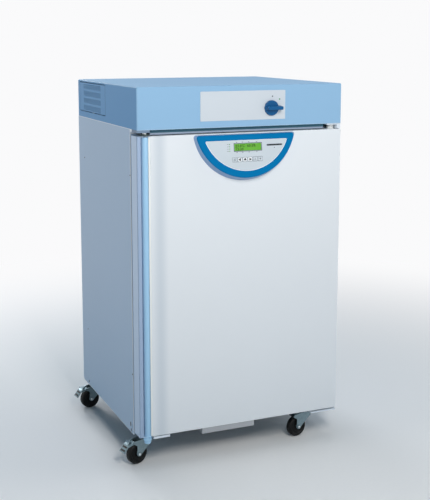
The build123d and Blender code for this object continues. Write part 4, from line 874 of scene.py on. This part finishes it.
# %% Filter mat behind the grille
grille_low, grille_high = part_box("hood_grille")
mat_finish = moulded("filter mat", screen(34, 62, 92), fineness=300.0, shine=0.9, depth=0.8)
mat_depth = 4.5
pleats = 40
pleat_depth = 2.0
mat_size = grille_high - grille_low - mm(0, 12, 8)
shape = bmesh.new()
bmesh.ops.create_grid(shape, x_segments=pleats, y_segments=1, size=0.5)
for vert in shape.verts:
    column = round((vert.co.x + 0.5) * pleats)
    vert.co.z = pleat_depth * MM if column % 2 else 0.0
bmesh.ops.scale(shape, vec=(mat_size.y, mat_size.z, 1), verts=shape.verts)
lay(shape, Matrix(((0, 0, 1), (1, 0, 0), (0, 1, 0))).to_4x4())
mat_place = (grille_low + grille_high) / 2
mat_place.x = hood_low.x + mat_depth * MM
move(shape, mat_place)
mat = finish_piece(shape, "filter_mat", "cabinet", "hood_blue", mat_finish)
mat_sheet = mat.modifiers.new("sheet", "SOLIDIFY")
mat_sheet.thickness = 0.8 * MM

# %% [markdown]
# The grille is a plate of its own in the hood's side, so a fine dark seam runs down its front and rear ends.

# %% Seams of the grille
seam_stand = 0.3
seam_width = 1.6
seam_ink = moulded("seam blue", screen(46, 84, 124), shine=0.6)
shape = bmesh.new()
for end in (grille_low.y, grille_high.y):
    place = Vector((grille_low.x, end, (grille_low.z + grille_high.z) / 2)) / MM
    add_bar(shape, (seam_stand, seam_width, (grille_high.z - grille_low.z) / MM), place)
finish_piece(shape, "grille_seams", "cabinet", "hood_blue", seam_ink)

# %% [markdown]
# A glossy sleeve covers the handle's bar and nearly fills its groove. It is a closed cylinder with rounded
# rims, and the bar runs on inside it.

# %% Sleeve over the handle's bar
sleeve_radius = 12.8
sleeve_ends = (119.0, 1140.0)
rim_round = 0.8
bar_middle = (bar_low + bar_high) / 2
shape = bmesh.new()
bmesh.ops.create_cone(shape, cap_ends=True, segments=72, radius1=sleeve_radius * MM,
                      radius2=sleeve_radius * MM, depth=(sleeve_ends[1] - sleeve_ends[0]) * MM)
rims = [edge for edge in shape.edges if abs(edge.verts[0].co.z - edge.verts[1].co.z) < 1e-6]
round_edges(shape, rims, rim_round)
sleeve_height = (sleeve_ends[0] + sleeve_ends[1]) / 2 * MM
move(shape, (bar_middle.x, bar_middle.y, sleeve_height))
finish_piece(shape, "bar_sleeve", "handle", "handle_blue")

# %% [markdown]
# The door folds over its groove from both sides as narrow lips, a little behind the door's front, so that
# only the bar's front half shows. The outer lip is a darker blue, a painted shade, and the inner one a
# little whiter than the door, a painted highlight.

# %% Lips beside the handle's groove
lip_thick = 2.0
lip_height = 1025.0
lip_back = 0.4
groove_end = bar_high.x / MM + groove_gap
inner_width = 7.0
lips = (("groove_lip", door_low.x / MM + 3.5, 9.5, lip_shade_colour),
        # Painted highlight: the inner lip is a little whiter than the door.
        ("groove_lip_inner", groove_end - inner_width, inner_width, screen(238, 239, 236)))
lip_front = door_low.y / MM + lip_back
lip_middle = (door_low.z + door_high.z) / 2 / MM
for name, left, wide, colour in lips:
    shape = bmesh.new()
    lip_place = (left + wide / 2, lip_front + lip_thick / 2, lip_middle)
    add_bar(shape, (wide, lip_thick, lip_height), lip_place, 0.6)
    finish_piece(shape, name, "door", "cabinet_white", painted(name.replace("_", " "), colour))

# %% [markdown]
# A folded flange under the hood's front darkens the gap over the door. It is folded as in the workshop: a
# flat face first, then its top edge is drawn forwards, and the thickness comes last. Its greyish teal is a
# painted shade of the gap, and its pale lower hem a painted highlight where light reaches the gap's lower
# part.

# %% Flange over the door
flange_ends = (-330.0, 318.0)
flange_front = -335.0
flange_foot = 1148.5
flange_sheet = 1.5
hem_height = 6.0
flange_drop = hood_low.z / MM - flange_sheet - flange_foot
flange_lap = flange_front - hood_low.y / MM - 1.5
flange_middle = mm((flange_ends[0] + flange_ends[1]) / 2, flange_front, flange_foot + flange_drop / 2)
shape = bmesh.new()
bmesh.ops.create_grid(shape, x_segments=1, y_segments=1, size=0.5)
bmesh.ops.scale(shape, vec=mm(flange_ends[1] - flange_ends[0], flange_drop, 1), verts=shape.verts)
lay(shape, Matrix.Translation(flange_middle) @ stand_up)
fold = max(shape.edges, key=lambda edge: edge.verts[0].co.z + edge.verts[1].co.z)
drawn = bmesh.ops.extrude_edge_only(shape, edges=[fold])["geom"]
bmesh.ops.translate(shape, vec=mm(0, -flange_lap, 0), verts=corners(drawn))
bmesh.ops.solidify(shape, geom=shape.faces[:], thickness=flange_sheet * MM)
# Painted shade and highlight: a dark teal flange with a pale hem.
hem_light = ((0, 0, -1), -(flange_foot + hem_height) * MM, screen(158, 172, 192))
flange_shade_paint = painted("flange teal", screen(72, 114, 132), shine=0.4, others=(hem_light,))
finish_piece(shape, "hood_flange", "cabinet", "hood_blue", flange_shade_paint)

# %% [markdown]
# Small fasteners give sheet metal its scale. A pan-head screw is a short cone with a socket pressed into its
# top: the top face is inset and its middle pushed down.

# %% Screws
bright_zinc = plated("bright zinc", screen(196, 204, 208), patch=300.0, shine=0.2)


def screw_shape(radius, depth):
    """A pan-head screw standing on the plane at the origin."""
    shape = bmesh.new()
    bmesh.ops.create_cone(shape, cap_ends=True, segments=24, radius1=radius * MM, radius2=0.78 * radius * MM,
                          depth=depth * MM)
    top = max(shape.faces, key=lambda face: face.calc_center_median().z)
    bmesh.ops.inset_individual(shape, faces=[top], thickness=0.36 * radius * MM)
    bmesh.ops.translate(shape, vec=mm(0, 0, -0.55 * depth), verts=top.verts)
    move(shape, mm(0, 0, depth / 2))
    return shape


def faced(shape, out, origin):
    """Turn a flat shape so that its height points along a direction, and move it to an origin in metres."""
    turn = Vector((0, 0, 1)).rotation_difference(Vector(out)).to_matrix().to_4x4()
    return lay(shape, Matrix.Translation(origin) @ turn)


def join_in(shape, part):
    """Add a finished part to a shape."""
    mesh = make_mesh(part, "part")
    shape.from_mesh(mesh)
    bpy.data.meshes.remove(mesh)


screw_radius = 4.2
screw_depth = 2.2
rear_low, rear_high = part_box("rear_panel")
rear_inset = 12.0 * MM
rear_margin = 0.04
rear_rows = 5
row_pitch = (rear_high.z - rear_low.z - 2 * rear_margin) / (rear_rows - 1)
shape = bmesh.new()
for row in range(rear_rows):
    height = rear_low.z + rear_margin + row * row_pitch
    for across in (rear_low.x + rear_inset, rear_high.x - rear_inset):
        screw = screw_shape(screw_radius, screw_depth)
        join_in(shape, faced(screw, (0, 1, 0), Vector((across, rear_high.y, height))))
finish_piece(shape, "rear_panel_screws", "cabinet", "zinc_steel", bright_zinc)

# %% [markdown]
# The upper catch is held by a large slotted screw, which shines in the dark gap above the door. Two half
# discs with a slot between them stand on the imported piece's own screw head.

# %% Slotted head on the upper catch
head_radius = 7.2
slot_half = 1.1
head_thick = 3.2
head_sunk = 2.7
shape = bmesh.new()
for side in (-1, 1):
    half = bmesh.new()
    bmesh.ops.create_circle(half, cap_ends=True, segments=32, radius=head_radius * MM)
    cut_off(half, mm(side * slot_half, 0, 0), (-side, 0, 0))
    thicken(half, half.faces[:], head_thick)
    move(half, (bar_middle.x, bar_middle.y, catch_top - head_sunk * MM))
    join_in(shape, half)
finish_piece(shape, "catch_screw_face", "handle", "latch_dark", bright_zinc)

# %% [markdown]
# The side panels are held near their front edge and foot. The photograph shows small dark plugs there.

# %% Plugs in the side panels
plug_radius = 2.6
plug_depth = 0.9
plug_places = ((-276.8, 319.5), (275.6, 330.0), (-276.8, 1010.0), (275.6, 1010.0))
walls = {"left": (-1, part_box("left_side_panel")[0].x), "right": (1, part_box("right_side_panel")[1].x)}
for wall, (side, across) in walls.items():
    shape = bmesh.new()
    for depth_place, height in plug_places:
        plug = screw_shape(plug_radius, plug_depth)
        join_in(shape, faced(plug, (side, 0, 0), Vector((across, depth_place * MM, height * MM))))
    finish_piece(shape, "side_plugs_" + wall, "cabinet", "black_plastic")

# %% [markdown]
# Each caster turns on an axle bolt whose bright head catches the light beside the dark wheel. The bolt's
# cap is a half sphere: a sphere cut by a plane through its middle, and it rides on its caster's fork.

# %% Axle caps on the casters
caster_turns = {"front_left": 195.0, "front_right": 190.0, "rear_left": 189.0, "rear_right": 186.0}
axle_height = 37.5
cap_stand = 20.6
cap_radius = 5.2
for corner, turn in caster_turns.items():
    wheel_low, wheel_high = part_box("caster_wheel_" + corner)
    hub = (wheel_low + wheel_high) / 2
    axle = Matrix.Rotation(radians(turn), 3, "Z") @ Vector((0, 1, 0))
    shape = bmesh.new()
    for side in (-1, 1):
        cap = bmesh.new()
        bmesh.ops.create_uvsphere(cap, u_segments=20, v_segments=10, radius=cap_radius * MM)
        cut_off(cap, (0, 0, 0), (0, 0, -1))
        bmesh.ops.scale(cap, vec=(1, 1, 0.6), verts=cap.verts)
        seat = Vector((hub.x, hub.y, axle_height * MM)) + axle * (side * cap_stand * MM)
        join_in(shape, faced(cap, axle * side, seat))
    finish_piece(shape, "axle_caps_" + corner, "caster_" + corner, "zinc_steel", bright_zinc)

# %% [markdown]
# Dark slots show at the foot of the left side, near the front and the rear. Each is drawn as a black oval
# disc that stands a hair proud of the sheet, a painted shade for the slot's dark opening.

# %% Painted shade of the slots at the foot of the sides
slot_shade_discs = ((-250.0, 131.0, 9.0, 17.0), (-257.0, 111.5, 8.0, 11.0), (275.0, 116.0, 10.0, 9.0))
for wall, (side, across) in walls.items():
    shape = bmesh.new()
    for depth_place, height, wide, high in slot_shade_discs:
        plug = bmesh.new()
        add_flat_circle(plug, 28, 0.5, (0, 0, 0), 0.4)
        bmesh.ops.scale(plug, vec=(high, wide, 1), verts=plug.verts)
        rim = [edge for edge in plug.edges if abs(edge.verts[0].co.z - edge.verts[1].co.z) < 1e-7]
        round_edges(plug, rim, 0.1, segments=1)
        join_in(shape, faced(plug, (side, 0, 0), Vector((across, depth_place * MM, height * MM))))
    finish_piece(shape, "slot_shade_marks_" + wall, "cabinet", "black_plastic")

# %% [markdown]
# A foot needs grip on a brake pedal, so black rubber strips lie between the ribs of its tread. They are
# drawn in the caster's own frame, where the wheel trails along X, and turned with the caster.

# %% Rubber strips on the brake pedals
tread_top = Vector((80.0, 77.0))
tread_foot = Vector((99.0, 55.0))
strip_shares = (0.28, 0.74)
strip_size = (6.6, 25.0, 1.6)
strip_round = 0.4
kingpins = {"front_left": (-335.0, -275.0), "rear_left": (-335.0, 305.0)}
slope = tread_foot - tread_top
away = Vector((-slope.y, slope.x)).normalized() * 0.5
for corner, kingpin in kingpins.items():
    shape = bmesh.new()
    for share in strip_shares:
        middle = tread_top + slope * share + away
        strip = bmesh.new()
        add_bar(strip, strip_size, (0, 0, 0), strip_round)
        lay(strip, Matrix.Rotation(atan2(-slope.y, slope.x), 4, "Y"))
        move(strip, mm(middle.x, 0, middle.y))
        join_in(shape, strip)
    lay(shape, Matrix.Rotation(radians(caster_turns[corner]), 4, "Z"))
    move(shape, mm(*kingpin, 0))
    finish_piece(shape, "tread_strips_" + corner, "brake_" + corner, "black_plastic")

# %% [markdown]
# The studio: a wide pale floor, and a world that the camera sees as nearly white while it lights the
# cabinet softly. The floor fades into the background's colour with distance, so that no edge shows.

# %% Floor and background
backdrop = screen(250, 250, 251)
floor_radius = 30.0
fade_start = 0.75
fade_end = 3.0
shape = bmesh.new()
bmesh.ops.create_circle(shape, cap_ends=True, segments=96, radius=floor_radius)
floor = put_in_scene("floor", make_mesh(shape, "floor"))

floor_material, tree, shader = start_material("floor", Roughness=0.7)
place = object_place(tree)
pale = mix_colours(tree, noise(tree, place, 90.0, 3.0), screen(240, 238, 235), screen(244, 242, 239))
tree.links.new(pale, shader.inputs["Base Color"])
far_light = add_node(tree, "Emission", {"Color": backdrop, "Strength": 1.0}).outputs[0]
far = ramp_between(tree, on_vectors(tree, "LENGTH", place)["Value"], fade_start, fade_end)
surface = add_node(tree, "MixShader", {0: far, 1: shader.outputs[0], 2: far_light}).outputs[0]
tree.links.new(surface, tree.nodes["Material Output"].inputs["Surface"])
floor.data.materials.append(floor_material)
print("floor is ready")

# %% [markdown]
# The world has two lights in one. A ray from the camera, or one that metal or glass sends on, meets the pale
# background. Every other ray meets a cool even grey that fills the shadows.

# %% World
world = bpy.data.worlds.new("studio")
bpy.context.scene.world = world
world.use_nodes = True
tree = world.node_tree
seen = tree.nodes["Background"]
seen.inputs["Color"].default_value = backdrop
seen.inputs["Strength"].default_value = 1.0
fill = add_node(tree, "Background", {"Color": screen(138, 188, 226), "Strength": 0.28}).outputs[0]
rays = add_node(tree, "LightPath").outputs
direct = calculate(tree, "MAXIMUM", rays["Is Camera Ray"], rays["Is Glossy Ray"])
direct = calculate(tree, "MAXIMUM", direct, rays["Is Transmission Ray"])
both = add_node(tree, "MixShader", {0: direct, 1: fill, 2: seen.outputs[0]}).outputs[0]
tree.links.new(both, tree.nodes["World Output"].inputs["Surface"])
print("world is ready")

# %% [markdown]
# Soft area lights: a key in front of the hood, which leaves the left side in the cool shade of the
# photograph, a weak one from the right, and one each from behind and above for the other views.

# %% Lights
aim = Vector((0.0, 0.0, 0.7))


def add_light(name, place, size, power, colour):
    """An area light that faces the cabinet."""
    data = bpy.data.lights.new(name, "AREA")
    data.shape = "RECTANGLE"
    data.size, data.size_y = size
    data.energy = power
    data.color = colour
    light = put_in_scene(name, data)
    light.location = place
    light.rotation_euler = (aim - Vector(place)).to_track_quat("-Z", "Y").to_euler()
    print(name, "gives", power, "W")


add_light("key", (-0.3, -2.55, 2.25), (0.5, 1.0), 39.0, (1.0, 0.98, 0.95))
add_light("right fill", (3.2, -1.2, 2.2), (2.0, 2.0), 18.0, (1.0, 0.99, 0.97))
add_light("back fill", (-0.3, 3.6, 1.9), (1.0, 1.6), 50.0, (0.95, 0.97, 1.0))
add_light("top fill", (0.1, 0.4, 3.8), (2.6, 2.6), 30.0, (0.98, 0.99, 1.0))

# %% Finish
print("the scene is dressed and lit")
